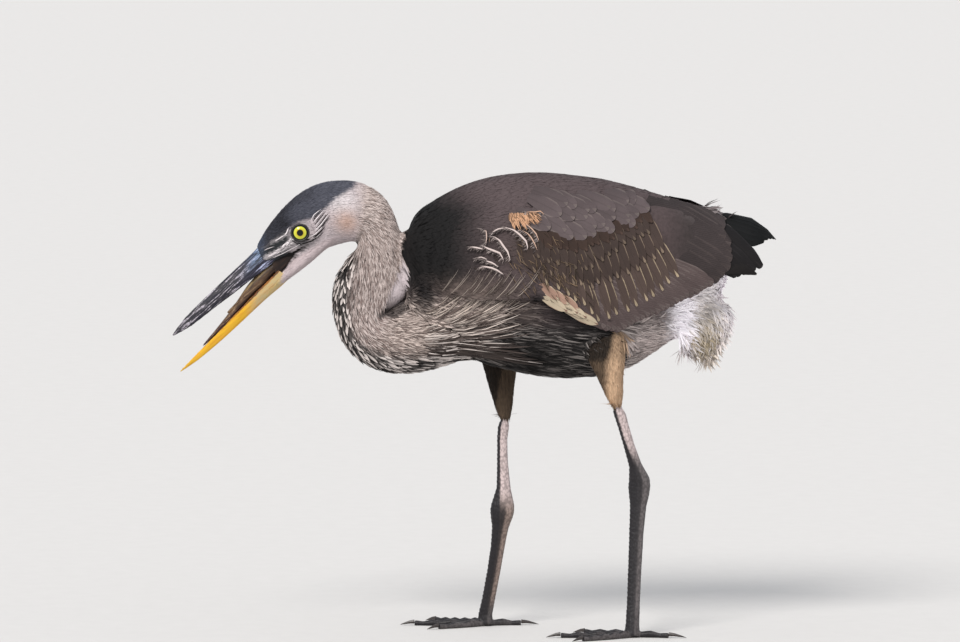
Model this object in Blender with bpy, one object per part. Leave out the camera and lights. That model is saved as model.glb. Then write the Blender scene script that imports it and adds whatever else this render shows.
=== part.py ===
"""A great blue heron in its first plumage, life size, wading with its neck folded and its bill open.

The bird faces -X, its left side faces -Y, +Z is up and the floor is z = 0. Sizes below are in
millimetres. loft() and slab() turn them into metres as they make each mesh.
"""

import math
from collections import namedtuple

import bmesh
import bpy
from mathutils import Matrix, Vector

MM = 0.001
GAP = 0.3  # air left between pieces that touch
LEFT, RIGHT = -1, 1  # sign of Y on each side of the bird

BODY_SIDES = 26
NECK_SIDES = 20
CHIN_SIDES = 16
THIGH_SIDES = 14
LIMB_SIDES = 10
TOE_SIDES = 8
RINGS_PER_SPAN = 2

# A cross-section in the bird's middle plane: its back point and its belly point (x, z), its half
# width, and its fullness, which moves the widest part towards the back (+) or the belly (-).
Section = namedtuple("Section", "back belly half_width fullness")

# The head and neck, from the foot of the bill, over the crown and round the fold, into the breast.
HEAD_AND_NECK = [
    Section((-253, 446), (-240, 419), 11, 0.0),  # foot of the bill
    Section((-232, 478), (-219, 427), 16, -0.1),  # lores
    Section((-209, 503), (-199, 434), 20, -0.1),  # eyes
    Section((-181, 519), (-177, 440), 23, 0.0),
    Section((-152, 523), (-158, 447), 24, 0.0),
    Section((-126, 519), (-144, 450), 24, 0.0),  # nape
    Section((-104, 505), (-136, 450), 23, 0.0),
    Section((-89, 478), (-139, 444), 22, 0.0),
    Section((-82, 446), (-149, 431), 22, 0.0),
    Section((-79, 416), (-161, 413), 23, 0.0),
    Section((-82, 396), (-166, 392), 24, 0.0),
    Section((-93, 381), (-165, 367), 25, 0.0),
    Section((-101, 375), (-157, 340), 27, 0.0),  # inside of the fold
    Section((-101, 372), (-139, 316), 30, 0.0),
    Section((-93, 374), (-109, 300), 35, 0.0),
    Section((-70, 384), (-78, 297), 41, 0.1),
    Section((-40, 392), (-44, 303), 47, 0.1),
    Section((-8, 396), (-8, 316), 48, 0.1),  # inside the breast
]
HEAD_END = 5  # the section at which the head ends
NECK_LENGTHS = [  # name, first section, last section
    ("neck_nape", HEAD_END, 8),
    ("neck_upper", 8, 10.5),
    ("neck_fold", 10.5, 13.5),
    ("neck_base", 13.5, 17),
]

# The feathered chin, a strip under the gape from the foot of the lower bill to the throat.
CHIN = [
    Section((-230, 411), (-227, 397), 8.5, 0.0),
    Section((-216, 426), (-206, 412), 12, 0.0),
    Section((-202, 441), (-187, 427), 15, 0.0),
    Section((-185, 455), (-169, 443), 18, 0.0),
    Section((-168, 468), (-156, 452), 18, 0.0),
]

TRUNK = [
    Section((-86, 452), (-84, 408), 20, 0.0),
    Section((-78, 475), (-74, 366), 42, 0.0),
    Section((-62, 494), (-54, 336), 58, 0.0),
    Section((-30, 514), (-22, 316), 70, 0.05),
    Section((14, 530), (18, 307), 77, 0.1),
    Section((76, 536), (62, 296), 79, 0.1),
    Section((146, 527), (122, 292), 76, 0.1),
    Section((205, 511), (176, 305), 66, 0.1),
    Section((243, 499), (222, 336), 50, 0.1),
    Section((270, 492), (260, 366), 34, 0.1),
    Section((286, 480), (286, 402), 20, 0.1),
]
RUMP_START = 7.5

# The tuft of loose white feathers that hangs behind the belly.
VENT = [
    Section((214, 400), (236, 322), 30, 0.0),
    Section((246, 400), (250, 322), 26, 0.0),
    Section((282, 392), (257, 318), 20, 0.0),
    Section((294, 366), (262, 312), 12, 0.0),
    Section((283, 334), (266, 313), 4, 0.0),
]

# The outer surface of the folded wings, as one cloak round the trunk.
CLOAK = [
    Section((-84, 480), (-84, 380), 36, 0.0),
    Section((-74, 488), (-68, 356), 55, 0.0),
    Section((-56, 498), (-48, 332), 70, 0.0),
    Section((-28, 515), (-20, 314), 81, 0.05),
    Section((14, 530), (18, 305), 88, 0.1),
    Section((76, 536), (62, 296), 91, 0.1),
    Section((146, 527), (122, 292), 89, 0.1),
    Section((205, 515), (180, 305), 81, 0.1),
    Section((250, 503), (235, 330), 70, 0.1),
    Section((290, 482), (285, 365), 57, 0.0),
    Section((318, 462), (315, 390), 48, 0.0),
    Section((336, 446), (335, 400), 42, 0.0),
]
# The side view of a folded wing, from the wrist along its upper edge to the tip and back.
WING_OUTLINE = [
    (-58, 428), (-50, 462), (-20, 486), (30, 499), (90, 504), (150, 504), (205, 500), (252, 491),
    (274, 470), (290, 448), (306, 437), (327, 419), (325, 412), (284, 414), (257, 400),
    (232, 387), (206, 376), (182, 363), (163, 353), (142, 358), (118, 367), (88, 386), (50, 391),
    (0, 391), (-40, 398),
]  # fmt: skip
# Where the small covert feathers end and the long quills begin, from the upper edge down.
COVERT_LINE = [(205, 560), (205, 500), (222, 440), (196, 398), (150, 372), (112, 340)]
WING_REACH = 130  # further out than the widest part of a wing
WING_INNER = 33  # how near the middle plane a wing comes

# The tail, a shallow roof of feathers: x and z of its ridge, half width, droop of its edges, and
# thickness.
TAIL = [
    (258, 485, 18, 12, 6.0),
    (290, 485, 26, 24, 5.0),
    (318, 479, 31, 30, 4.0),
    (336, 466, 26, 18, 3.0),
    (348, 452, 17, 6, 2.0),
]
TAIL_SPANS = 6

# The horny bill. Sections run from the tip to the foot, square to the line of the bill.
UPPER_BILL = [
    Section((-348, 344), (-346.5, 342.5), 0.8, 0.0),
    Section((-334, 363), (-326, 354), 3.0, 0.0),
    Section((-309, 388), (-298, 376), 5.0, 0.0),
    Section((-291, 405), (-278, 391), 6.8, 0.0),
    Section((-273, 422), (-258, 407), 8.6, 0.0),
    Section((-254, 440), (-237, 423), 10.4, 0.0),
    Section((-244, 452), (-226, 434), 11.0, 0.0),
]
LOWER_BILL = [
    Section((-339.5, 302), (-338.5, 301), 0.8, 0.0),
    Section((-323, 319), (-318.5, 314.5), 2.8, 0.0),
    Section((-299, 343.5), (-291, 337.5), 4.6, 0.0),
    Section((-276, 368), (-266, 360.5), 6.2, 0.0),
    Section((-253, 392), (-241, 384), 7.8, 0.0),
    Section((-236, 409), (-222, 400), 9.0, 0.0),
    Section((-226, 419), (-212, 410), 9.4, 0.0),
]
# Half of a bill's cross-section as shares of its half width and half height, back to belly.
UPPER_BILL_HALF = [
    (0, 1), (0.3, 0.86), (0.62, 0.42), (0.9, -0.2), (1, -0.86), (0.8, -1), (0.35, -0.66), (0, -0.66),
]  # fmt: skip
LOWER_BILL_HALF = [
    (0, 0.3), (0.5, 0.5), (0.8, 1), (1, 0.86), (0.86, 0.1), (0.5, -0.62), (0.2, -0.95), (0, -0.95),
]  # fmt: skip
# The same without the hollows, for the room that the foot of each half takes in the head.
UPPER_ROOM_HALF = [(0, 1), (0.3, 0.86), (0.62, 0.42), (0.9, -0.2), (1, -0.86), (0.8, -1), (0, -1)]
LOWER_ROOM_HALF = [(0, 1), (0.8, 1), (1, 0.86), (0.86, 0.1), (0.5, -0.62), (0.2, -0.95), (0, -0.95)]
BILL_ROOM_START = 3  # the section from which that room is cut
TONGUE = [  # x, z, half width, half height
    (-284, 369.5, 1.0, 0.6),
    (-266, 388.0, 2.0, 1.0),
    (-246, 408.5, 2.8, 1.4),
    (-232, 423.0, 3.2, 1.6),
]

EYE_CENTRE = (-200.5, 12.0, 463.0)  # y is on the right side
EYE_RADIUS = 10.8
EYE_FACETS = {"u_segments": 12, "v_segments": 8}

# A limb's route: x, y, z, half depth fore and aft, half width across.
LEFT_THIGH = [
    (145, -46, 342, 27, 24),
    (149, -48, 331, 24, 23),
    (152, -48, 318, 20.5, 20),
    (156, -46, 297, 14, 14),
    (162, -43, 270, 8.4, 8.0),
]
LEFT_SHANK = [
    (162.2, -43, 269.4, 7.4, 6.2),
    (170, -41, 243, 6.3, 5.2),
    (177, -39, 219, 6.3, 5.2),
    (184, -36, 197, 7.4, 6.0),
    (188.5, -34.4, 180, 12.2, 7.6),
    (188.8, -34, 173, 12.8, 7.6),
]
LEFT_TARSUS = [
    (188.8, -34, 172.6, 12.8, 7.6),
    (188.4, -34.6, 164, 12.0, 7.2),
    (187.4, -35.8, 150, 9.6, 6.2),
    (185.4, -39, 120, 8.4, 5.2),
    (183.4, -44.4, 77, 7.8, 4.8),
    (181.7, -49.4, 36, 7.6, 5.0),
    (180.8, -52.2, 15, 8.0, 6.4),
]
RIGHT_THIGH = [
    (18, 44, 372, 34, 23),
    (26, 48, 342, 28, 24),
    (29, 47, 313, 22, 19),
    (30.5, 43, 284, 15.5, 14),
    (34.5, 38, 248, 8.2, 7.8),
]
RIGHT_SHANK = [
    (34.4, 37.9, 247.4, 7.2, 6.0),
    (31.6, 36, 220, 6.0, 5.0),
    (31.8, 34, 196, 6.2, 5.2),
    (33, 31.6, 170, 7.6, 6.0),
    (32.2, 30.2, 153, 12.0, 7.6),
    (31.6, 30, 146, 12.6, 7.6),
]
RIGHT_TARSUS = [
    (31.55, 30.05, 145.6, 12.6, 7.6),
    (31, 30.6, 137, 11.6, 7.2),
    (29.6, 32.8, 122, 9.4, 6.2),
    (26.6, 36.6, 96, 8.2, 5.2),
    (22, 42, 66, 7.8, 4.8),
    (16, 48.6, 33, 7.6, 5.0),
    (12.4, 52.2, 15, 8.0, 6.4),
]

# The toes: name, turn from straight ahead towards the outside in degrees, length without claw,
# claw length, number of joints.
TOES = [
    ("middle", 3, 82, 17, 4),
    ("outer", 33, 68, 15, 5),
    ("inner", -30, 62, 16, 3),
    ("hind", 172, 42, 21, 2),
]
TOE_RADIUS = (4.9, 3.1)  # at its root and at its end
TOE_SINK = 0.7  # how much of a round toe the flat sole takes off
KNUCKLE = 0.13  # how much a joint swells
PAD_RADIUS = 9.5
CLAW_RADIUS = 2.5
SOLE_BLOCK = (400, 400, 40)  # the block under the floor that makes the soles flat

FEATHER_BROWN = (0.115, 0.092, 0.086)
FEATHER_BUFF = (0.42, 0.34, 0.29)
FEATHER_WHITE = (0.62, 0.57, 0.57)
CROWN_SLATE = (0.08, 0.08, 0.10)
HORN_DARK = (0.09, 0.095, 0.11)
HORN_YELLOW = (0.62, 0.36, 0.05)
LEG_GREY = (0.09, 0.08, 0.08)
EYE_YELLOW = (0.62, 0.55, 0.04)
CLAW_DARK = (0.035, 0.03, 0.03)
TONGUE_PINK = (0.45, 0.22, 0.16)


def clear_scene():
    for obj in list(bpy.data.objects):
        bpy.data.objects.remove(obj)


def collection_named(name):
    made = bpy.data.collections.new(name)
    bpy.context.scene.collection.children.link(made)
    return made


def paint(obj, colour, roughness):
    """Gives the object a material of its own."""
    finish = bpy.data.materials.new(obj.name)
    finish.use_nodes = True
    shader = finish.node_tree.nodes["Principled BSDF"]
    shader.inputs["Base Color"].default_value = (*colour, 1.0)
    shader.inputs["Roughness"].default_value = roughness
    shader.inputs["Metallic"].default_value = 0.0
    obj.data.materials.append(finish)


def blend(values, share):
    """A Catmull-Rom curve through four equal-length tuples, from the second to the third."""
    before, start, end, after = values
    return tuple(
        0.5 * (2 * b + (c - a) * share + (2 * a - 5 * b + 4 * c - d) * share**2
               + (3 * b - a - 3 * c + d) * share**3)
        for a, b, c, d in zip(before, start, end, after)
    )  # fmt: skip


def along(stations, place):
    """The station at a fractional index, on a smooth curve through the stations."""
    last = len(stations) - 1
    index = min(int(place), last - 1)
    four = [stations[min(max(index + step, 0), last)] for step in (-1, 0, 1, 2)]
    return blend(four, place - index)


def places(start, end, per_span=RINGS_PER_SPAN):
    """Evenly spaced fractional indices from start to end."""
    count = max(2, round((end - start) * per_span))
    return [start + (end - start) * step / count for step in range(count + 1)]


def flat(section):
    """A Section as one plain tuple, so that it can be blended."""
    return (*section.back, *section.belly, section.half_width, section.fullness)


def round_half(sides, fullness):
    """Half of a rounded cross-section, as shares of its half width and half height."""
    half = []
    for step in range(sides // 2 + 1):
        angle = 2 * math.pi * step / sides
        across = math.sin(angle) * (1 + fullness * math.cos(angle))
        half.append((across, math.cos(angle)))
    return half


def closed_outline(half):
    """Both halves of a cross-section whose half runs from the back to the belly."""
    mirrored = [(-across, up) for across, up in reversed(half[1:-1])]
    return [*half, *mirrored]


def mid_ring(values, sides=None, half=None, shift=0.0, grow=0.0):
    """A ring round the middle plane. shift moves it along the body, grow makes it larger."""
    back = Vector((values[0], 0, values[1]))
    belly = Vector((values[2], 0, values[3]))
    centre, up = (back + belly) / 2, (back - belly) / 2
    forward = Vector((up.z, 0, -up.x)).normalized()
    up += up.normalized() * grow
    half_width = values[4] + grow
    outline = closed_outline(half or round_half(sides, values[5]))
    return [
        centre + forward * shift + up * high + Vector((0, half_width * across, 0))
        for across, high in outline
    ]


def loft(name, rings, collection):
    """One closed mesh through the rings, with flat ends."""
    shape = bmesh.new()
    loops = [[shape.verts.new(point * MM) for point in ring] for ring in rings]
    count = len(loops[0])
    for one, two in zip(loops, loops[1:]):
        for k in range(count):
            shape.faces.new((one[k], one[(k + 1) % count], two[(k + 1) % count], two[k]))
    shape.faces.new(loops[0])
    shape.faces.new(loops[-1])
    bmesh.ops.recalc_face_normals(shape, faces=shape.faces)
    mesh = bpy.data.meshes.new(name)
    shape.to_mesh(mesh)
    shape.free()
    mesh.shade_smooth()
    mesh.set_sharp_from_angle(angle=math.radians(40))
    obj = bpy.data.objects.new(name, mesh)
    collection.objects.link(obj)
    return obj


def helper(obj):
    """Marks a cutter, which isn't part of the bird."""
    obj.hide_render = True
    obj.display_type = "WIRE"
    return obj


def combine(obj, other, operation):
    """Adds a Boolean of the other object."""
    step = obj.modifiers.new(f"{operation.lower()}_{other.name}", "BOOLEAN")
    step.operation = operation
    step.solver = "EXACT"
    step.object = other


def body_piece(name, sections, start, end, sides, collection, grow=0.0):
    """A length of the body. Its ends are drawn in by half the gap, or pushed out if it grows."""
    values = [flat(section) for section in sections]
    steps = places(start, end)
    draw_in = -(GAP / 2 + grow) if grow else GAP / 2
    shifts = [draw_in] + [0.0] * (len(steps) - 2) + [-draw_in]
    rings = [
        mid_ring(along(values, place), sides=sides, shift=shift, grow=grow)
        for place, shift in zip(steps, shifts)
    ]
    return loft(name, rings, collection)


def heading(route, place):
    """The direction of a limb's route at a fractional index."""
    ahead = Vector(along(route, min(place + 0.05, len(route) - 1))[:3])
    behind = Vector(along(route, max(place - 0.05, 0))[:3])
    return (ahead - behind).normalized()


def limb_rings(route, sides, grow=0.0, per_span=RINGS_PER_SPAN, first=None):
    """Rings square to a route of (x, y, z, half depth, half width), the first square to first."""
    rings = []
    for place in places(0, len(route) - 1, per_span):
        x, y, z, depth, width = along(route, place)
        tangent = first if first and place == 0 else heading(route, place)
        front = Vector((0, 1, 0)).cross(tangent).normalized()
        across = tangent.cross(front)
        centre = Vector((x, y, z))
        ring = []
        for step in range(sides):
            angle = 2 * math.pi * step / sides
            ring.append(
                centre
                + front * math.cos(angle) * (depth + grow)
                + across * math.sin(angle) * (width + grow)
            )
        rings.append(ring)
    return rings


def slab(name, outline, inner, outer, collection):
    """A flat outline in the side view, given thickness across the bird."""
    curve = bpy.data.curves.new(name, "CURVE")
    curve.dimensions = "2D"
    curve.fill_mode = "BOTH"
    curve.extrude = abs(outer - inner) / 2 * MM
    spline = curve.splines.new("POLY")
    spline.points.add(len(outline) - 1)
    for point, (x, z) in zip(spline.points, outline):
        point.co = (x * MM, z * MM, 0, 1)
    spline.use_cyclic_u = True
    drawn = bpy.data.objects.new(name + "_outline", curve)
    collection.objects.link(drawn)
    bpy.context.view_layer.update()
    graph = bpy.context.evaluated_depsgraph_get()
    mesh = bpy.data.meshes.new_from_object(drawn.evaluated_get(graph))
    bpy.data.objects.remove(drawn)
    middle = (inner + outer) / 2 * MM
    mesh.transform(Matrix.Translation((0, middle, 0)) @ Matrix.Rotation(math.radians(90), 4, "X"))
    shape = bmesh.new()
    shape.from_mesh(mesh)
    bmesh.ops.remove_doubles(shape, verts=shape.verts, dist=1e-6)
    bmesh.ops.recalc_face_normals(shape, faces=shape.faces)
    shape.to_mesh(mesh)
    shape.free()
    mesh.name = name
    obj = bpy.data.objects.new(name, mesh)
    collection.objects.link(obj)
    return helper(obj)


def make_head_and_neck(bird, cutters):
    """The head with its chin and eyes, and the neck in four lengths."""
    head = body_piece("head", HEAD_AND_NECK, 0, HEAD_END, NECK_SIDES, bird)
    paint(head, CROWN_SLATE, 0.8)
    chin = body_piece("chin", CHIN, 0, len(CHIN) - 1, CHIN_SIDES, bird)
    paint(chin, FEATHER_WHITE, 0.85)
    head_room = helper(body_piece("head_room", HEAD_AND_NECK, 0, HEAD_END, NECK_SIDES, cutters, GAP))
    combine(chin, head_room, "DIFFERENCE")

    rooms = []
    for name, start, end in NECK_LENGTHS:
        length = body_piece(name, HEAD_AND_NECK, start, end, NECK_SIDES, bird)
        paint(length, FEATHER_BUFF, 0.85)
        room = body_piece(name + "_room", HEAD_AND_NECK, start, end, NECK_SIDES, cutters, GAP)
        rooms.append(helper(room))
    combine(chin, rooms[0], "DIFFERENCE")

    for side, name in ((LEFT, "eye_left"), (RIGHT, "eye_right")):
        centre = Vector((EYE_CENTRE[0], side * EYE_CENTRE[1], EYE_CENTRE[2])) * MM
        for label, radius, place in (
            (name, EYE_RADIUS, bird),
            (name + "_room", EYE_RADIUS + GAP, cutters),
        ):
            shape = bmesh.new()
            bmesh.ops.create_uvsphere(shape, **EYE_FACETS, radius=radius * MM)
            mesh = bpy.data.meshes.new(label)
            shape.to_mesh(mesh)
            shape.free()
            mesh.shade_smooth()
            ball = bpy.data.objects.new(label, mesh)
            ball.location = centre
            ball.rotation_euler = (math.radians(90), 0, 0)
            place.objects.link(ball)
            if place is bird:
                paint(ball, EYE_YELLOW, 0.1)
            else:
                combine(head, helper(ball), "DIFFERENCE")
    return head, chin, rooms


def bill_rings(sections, half, start, grow=0.0):
    """Rings of one half of the bill, from a section to its foot."""
    values = [flat(section) for section in sections]
    foot = len(sections) - 1
    return [
        mid_ring(along(values, place), half=half, shift=grow if place == foot else 0.0, grow=grow)
        for place in places(start, foot)
    ]


def make_bill(head, chin, bird, cutters):
    """The dark upper bill, the yellow lower bill and the tongue between them."""
    upper = loft("bill_upper", bill_rings(UPPER_BILL, UPPER_BILL_HALF, 0), bird)
    paint(upper, HORN_DARK, 0.4)
    lower = loft("bill_lower", bill_rings(LOWER_BILL, LOWER_BILL_HALF, 0), bird)
    paint(lower, HORN_YELLOW, 0.4)
    upper_rings = bill_rings(UPPER_BILL, UPPER_ROOM_HALF, BILL_ROOM_START, GAP)
    upper_room = helper(loft("upper_room", upper_rings, cutters))
    lower_rings = bill_rings(LOWER_BILL, LOWER_ROOM_HALF, BILL_ROOM_START, GAP)
    lower_room = helper(loft("lower_room", lower_rings, cutters))
    combine(head, upper_room, "DIFFERENCE")
    combine(head, lower_room, "DIFFERENCE")
    combine(chin, lower_room, "DIFFERENCE")

    route = [(x, 0, z, high, wide) for x, z, wide, high in TONGUE]
    tongue = loft("tongue", limb_rings(route, TOE_SIDES), bird)
    paint(tongue, TONGUE_PINK, 0.4)
    tongue_room = helper(loft("tongue_room", limb_rings(route, TOE_SIDES, grow=GAP), cutters))
    for piece in (head, chin):
        combine(piece, tongue_room, "DIFFERENCE")


def tail_rings(grow=0.0):
    """Cross-sections of the tail's roof: its upper side, then its lower side."""
    rings = []
    for place in places(0, len(TAIL) - 1):
        x, z, half_width, droop, thickness = along(TAIL, place)
        x = x - grow if place == 0 else x
        ring = []
        for lower in (False, True):
            for step in range(TAIL_SPANS + 1):
                share = 2 * step / TAIL_SPANS - 1
                y = (half_width + grow) * (-share if lower else share)
                depth = thickness + 1.5 * grow if lower else -1.5 * grow
                ring.append(Vector((x, y, z - droop * (y / half_width) ** 2 - depth)))
        rings.append(ring)
    return rings


def make_trunk_and_tail(neck_rooms, bird, cutters):
    """The trunk with its rump, the hanging vent feathers and the tail."""
    trunk = body_piece("trunk", TRUNK, 0, RUMP_START, BODY_SIDES, bird)
    paint(trunk, FEATHER_BROWN, 0.85)
    for room in neck_rooms:
        combine(trunk, room, "DIFFERENCE")
    rump = body_piece("rump", TRUNK, RUMP_START, len(TRUNK) - 1, BODY_SIDES, bird)
    paint(rump, FEATHER_BUFF, 0.85)

    trunk_room = helper(
        body_piece("trunk_room", TRUNK, 0, len(TRUNK) - 1, BODY_SIDES, cutters, grow=GAP)
    )
    tail_room = helper(loft("tail_room", tail_rings(GAP), cutters))
    tail = loft("tail", tail_rings(), bird)
    paint(tail, FEATHER_BROWN, 0.7)
    combine(rump, tail_room, "DIFFERENCE")
    combine(trunk, tail_room, "DIFFERENCE")

    vent = body_piece("vent", VENT, 0, len(VENT) - 1, NECK_SIDES, bird)
    paint(vent, FEATHER_WHITE, 0.9)
    combine(vent, trunk_room, "DIFFERENCE")
    return trunk_room


def make_wings(trunk_room, bird, cutters):
    """Each folded wing is cut from the cloak, in its coverts and its quills."""
    line_back = [(x - GAP, z) for x, z in COVERT_LINE]
    front_of_line = [(-160, 560), *line_back, (-160, 340)]
    behind_line = [*COVERT_LINE, (400, 340), (400, 560)]
    for side, name in ((LEFT, "left"), (RIGHT, "right")):
        outline = slab(
            f"wing_outline_{name}", WING_OUTLINE, side * WING_INNER, side * WING_REACH, cutters
        )
        for part, bounds in (("coverts", front_of_line), ("quills", behind_line)):
            share = slab(f"{part}_{name}", bounds, side * 0.5, side * (WING_REACH + 5), cutters)
            wing = body_piece(f"wing_{name}_{part}", CLOAK, 0, len(CLOAK) - 1, BODY_SIDES, bird)
            paint(wing, FEATHER_BROWN, 0.8)
            combine(wing, outline, "INTERSECT")
            combine(wing, share, "INTERSECT")
            combine(wing, trunk_room, "DIFFERENCE")


def toe_route(root, turn, side, length, joints):
    """A toe's route from the middle of the foot: (x, y, z, half height, half width)."""
    angle = math.radians(turn)
    ahead = Vector((-math.cos(angle), side * math.sin(angle), 0))
    aside = Vector((-ahead.y, ahead.x, 0))
    route = []
    steps = joints * 2
    for step in range(steps + 1):
        share = step / steps
        radius = TOE_RADIUS[0] + (TOE_RADIUS[1] - TOE_RADIUS[0]) * share
        radius *= 1 + KNUCKLE * math.cos(2 * math.pi * joints * share)
        bend = 2.0 * math.sin(math.pi * share)
        point = root + ahead * length * share + aside * bend
        route.append((point.x, point.y, radius - TOE_SINK, radius, radius))
    return route, ahead


def flat_rings(route, sides):
    """Rings that stand square to a route lying on the floor."""
    rings = []
    for number, (x, y, z, high, wide) in enumerate(route):
        before = Vector(route[max(number - 1, 0)][:3])
        after = Vector(route[min(number + 1, len(route) - 1)][:3])
        tangent = (after - before).normalized()
        across = Vector((0, 0, 1)).cross(tangent).normalized()
        up = tangent.cross(across)
        ring = []
        for step in range(sides):
            angle = 2 * math.pi * (step + 0.5) / sides
            swell = up * math.sin(angle) * high + across * math.cos(angle) * wide
            ring.append(Vector((x, y, z)) + swell)
        rings.append(ring)
    return rings


def claw_rings(root, ahead, length):
    """A claw that curves from the toe's end down towards the floor."""
    rings = []
    steps = 3
    for step in range(steps + 1):
        share = step / steps
        radius = CLAW_RADIUS * (1 - share) ** 0.8 + 0.25
        height = (TOE_RADIUS[1] + 0.6) * math.cos(share * math.pi / 2) ** 1.2 + 0.7
        centre = root + ahead * (length * share) + Vector((0, 0, height))
        tangent = (ahead * length + Vector((0, 0, -share * length * 0.5))).normalized()
        across = Vector((0, 0, 1)).cross(ahead).normalized()
        up = tangent.cross(across)
        ring = []
        for side in range(6):
            angle = 2 * math.pi * side / 6
            ring.append(
                centre + up * math.sin(angle) * radius + across * math.cos(angle) * radius * 0.7
            )
        rings.append(ring)
    return rings


def make_foot(name, side, tarsus, bird, cutters):
    """Four toes and a pad made one, with flat soles, and four claws."""
    x, y = tarsus[-1][0] - 0.6, tarsus[-1][1] + side * 0.6
    root = Vector((x, y, 0))
    pad = [
        (x, y, 6.5, PAD_RADIUS * 0.95, PAD_RADIUS * 0.8),
        (x, y, 4.5, PAD_RADIUS, PAD_RADIUS * 0.85),
        (x, y, 2.0, PAD_RADIUS, PAD_RADIUS * 0.8),
    ]
    down = heading(tarsus, len(tarsus) - 1)
    top = [point + down * GAP for point in limb_rings(tarsus, LIMB_SIDES)[-1]]
    foot = loft(f"foot_{name}", [top, *limb_rings(pad, LIMB_SIDES, per_span=1)], bird)
    paint(foot, LEG_GREY, 0.6)
    for toe, turn, length, claw_length, joints in TOES:
        route, ahead = toe_route(root, turn, side, length, joints)
        solid = helper(loft(f"toe_{name}_{toe}", flat_rings(route, TOE_SIDES), cutters))
        combine(foot, solid, "UNION")
        claw_root = root + ahead * (length + GAP)
        claw = loft(f"claw_{name}_{toe}", claw_rings(claw_root, ahead, claw_length), bird)
        paint(claw, CLAW_DARK, 0.4)
    below = bmesh.new()
    bmesh.ops.create_cube(below, size=1)
    block_size = Matrix.Diagonal((*(side * MM for side in SOLE_BLOCK), 1))
    place = Matrix.Translation((root - Vector((0, 0, SOLE_BLOCK[2] / 2))) * MM)
    bmesh.ops.transform(below, matrix=place @ block_size, verts=below.verts)
    mesh = bpy.data.meshes.new(f"floor_{name}")
    below.to_mesh(mesh)
    below.free()
    floor = bpy.data.objects.new(f"floor_{name}", mesh)
    cutters.objects.link(floor)
    combine(foot, helper(floor), "DIFFERENCE")


def make_legs(trunk_room, bird, cutters):
    """Each leg in its thigh, shank, tarsus and foot, with one plane where two lengths meet."""
    legs = (
        ("left", LEFT, LEFT_THIGH, LEFT_SHANK, LEFT_TARSUS),
        ("right", RIGHT, RIGHT_THIGH, RIGHT_SHANK, RIGHT_TARSUS),
    )
    for name, side, thigh_route, shank_route, tarsus_route in legs:
        thigh = loft(f"thigh_{name}", limb_rings(thigh_route, THIGH_SIDES), bird)
        paint(thigh, FEATHER_BUFF, 0.85)
        combine(thigh, trunk_room, "DIFFERENCE")
        knee = heading(thigh_route, len(thigh_route) - 1)
        shank_rings = limb_rings(shank_route, LIMB_SIDES, per_span=1, first=knee)
        shank = loft(f"shank_{name}", shank_rings, bird)
        paint(shank, LEG_GREY, 0.6)
        ankle = heading(shank_route, len(shank_route) - 1)
        tarsus_rings = limb_rings(tarsus_route, LIMB_SIDES, per_span=1, first=ankle)
        tarsus = loft(f"tarsus_{name}", tarsus_rings, bird)
        paint(tarsus, LEG_GREY, 0.6)
        make_foot(name, side, tarsus_route, bird, cutters)


def main():
    clear_scene()
    bird = collection_named("great_blue_heron")
    cutters = collection_named("cutters")
    head, chin, neck_rooms = make_head_and_neck(bird, cutters)
    make_bill(head, chin, bird, cutters)
    trunk_room = make_trunk_and_tail(neck_rooms, bird, cutters)
    make_wings(trunk_room, bird, cutters)
    make_legs(trunk_room, bird, cutters)


main()
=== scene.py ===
"""The looks of a young great blue heron: skin, feathers, bill, eyes, legs, floor and light.

The bird faces -X and its left side faces -Y. Places are written in millimetres in the bird's own
frame and turned into metres where meshes are made.
"""

import math

import bpy
import numpy as np
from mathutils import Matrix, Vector
from mathutils.bvhtree import BVHTree


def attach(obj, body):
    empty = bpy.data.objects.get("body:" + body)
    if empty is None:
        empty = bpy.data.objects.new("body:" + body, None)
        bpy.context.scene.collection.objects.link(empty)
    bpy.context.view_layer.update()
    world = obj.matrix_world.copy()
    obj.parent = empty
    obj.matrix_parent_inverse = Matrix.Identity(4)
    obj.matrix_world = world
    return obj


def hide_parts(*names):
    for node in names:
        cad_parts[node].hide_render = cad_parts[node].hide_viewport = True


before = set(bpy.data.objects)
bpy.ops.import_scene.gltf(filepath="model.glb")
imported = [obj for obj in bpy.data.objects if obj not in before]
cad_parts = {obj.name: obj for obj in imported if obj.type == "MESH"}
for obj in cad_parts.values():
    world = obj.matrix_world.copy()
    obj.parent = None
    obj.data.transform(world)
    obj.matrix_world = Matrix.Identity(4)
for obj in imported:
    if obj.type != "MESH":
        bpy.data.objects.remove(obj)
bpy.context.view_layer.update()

MM = 0.001
LEFT, RIGHT = -1, 1  # sign of Y on each side of the bird
SIDES = ((LEFT, "left"), (RIGHT, "right"))
SEED = 20

# ---------------------------------------------------------------- the bird's own lines

# Back and belly points of the head and neck, from the foot of the bill into the breast, each row
# with the x and z of the back and then of the belly.
SPINE = [
    (-253, 446, -240, 419), (-232, 478, -219, 427), (-209, 503, -199, 434), (-181, 519, -177, 440),
    (-152, 523, -158, 447), (-126, 519, -144, 450), (-104, 505, -136, 450), (-89, 478, -139, 444),
    (-82, 446, -149, 431), (-79, 416, -161, 413), (-82, 396, -166, 392), (-93, 381, -165, 367),
    (-101, 375, -157, 340), (-101, 372, -139, 316), (-93, 374, -109, 300), (-70, 384, -78, 297),
    (-40, 392, -44, 303), (-8, 396, -8, 316),
]
SPINE_STEPS = 8  # how finely the spine is divided
# The stretch of the spine that each node of the head and neck belongs to.
SPINE_RANGE = {
    "head": (0, 5), "chin": (0, 5), "neck_nape": (4.6, 8.2), "neck_upper": (7.8, 10.8),
    "neck_fold": (10.2, 13.8), "neck_base": (13.2, 17),
}

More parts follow.
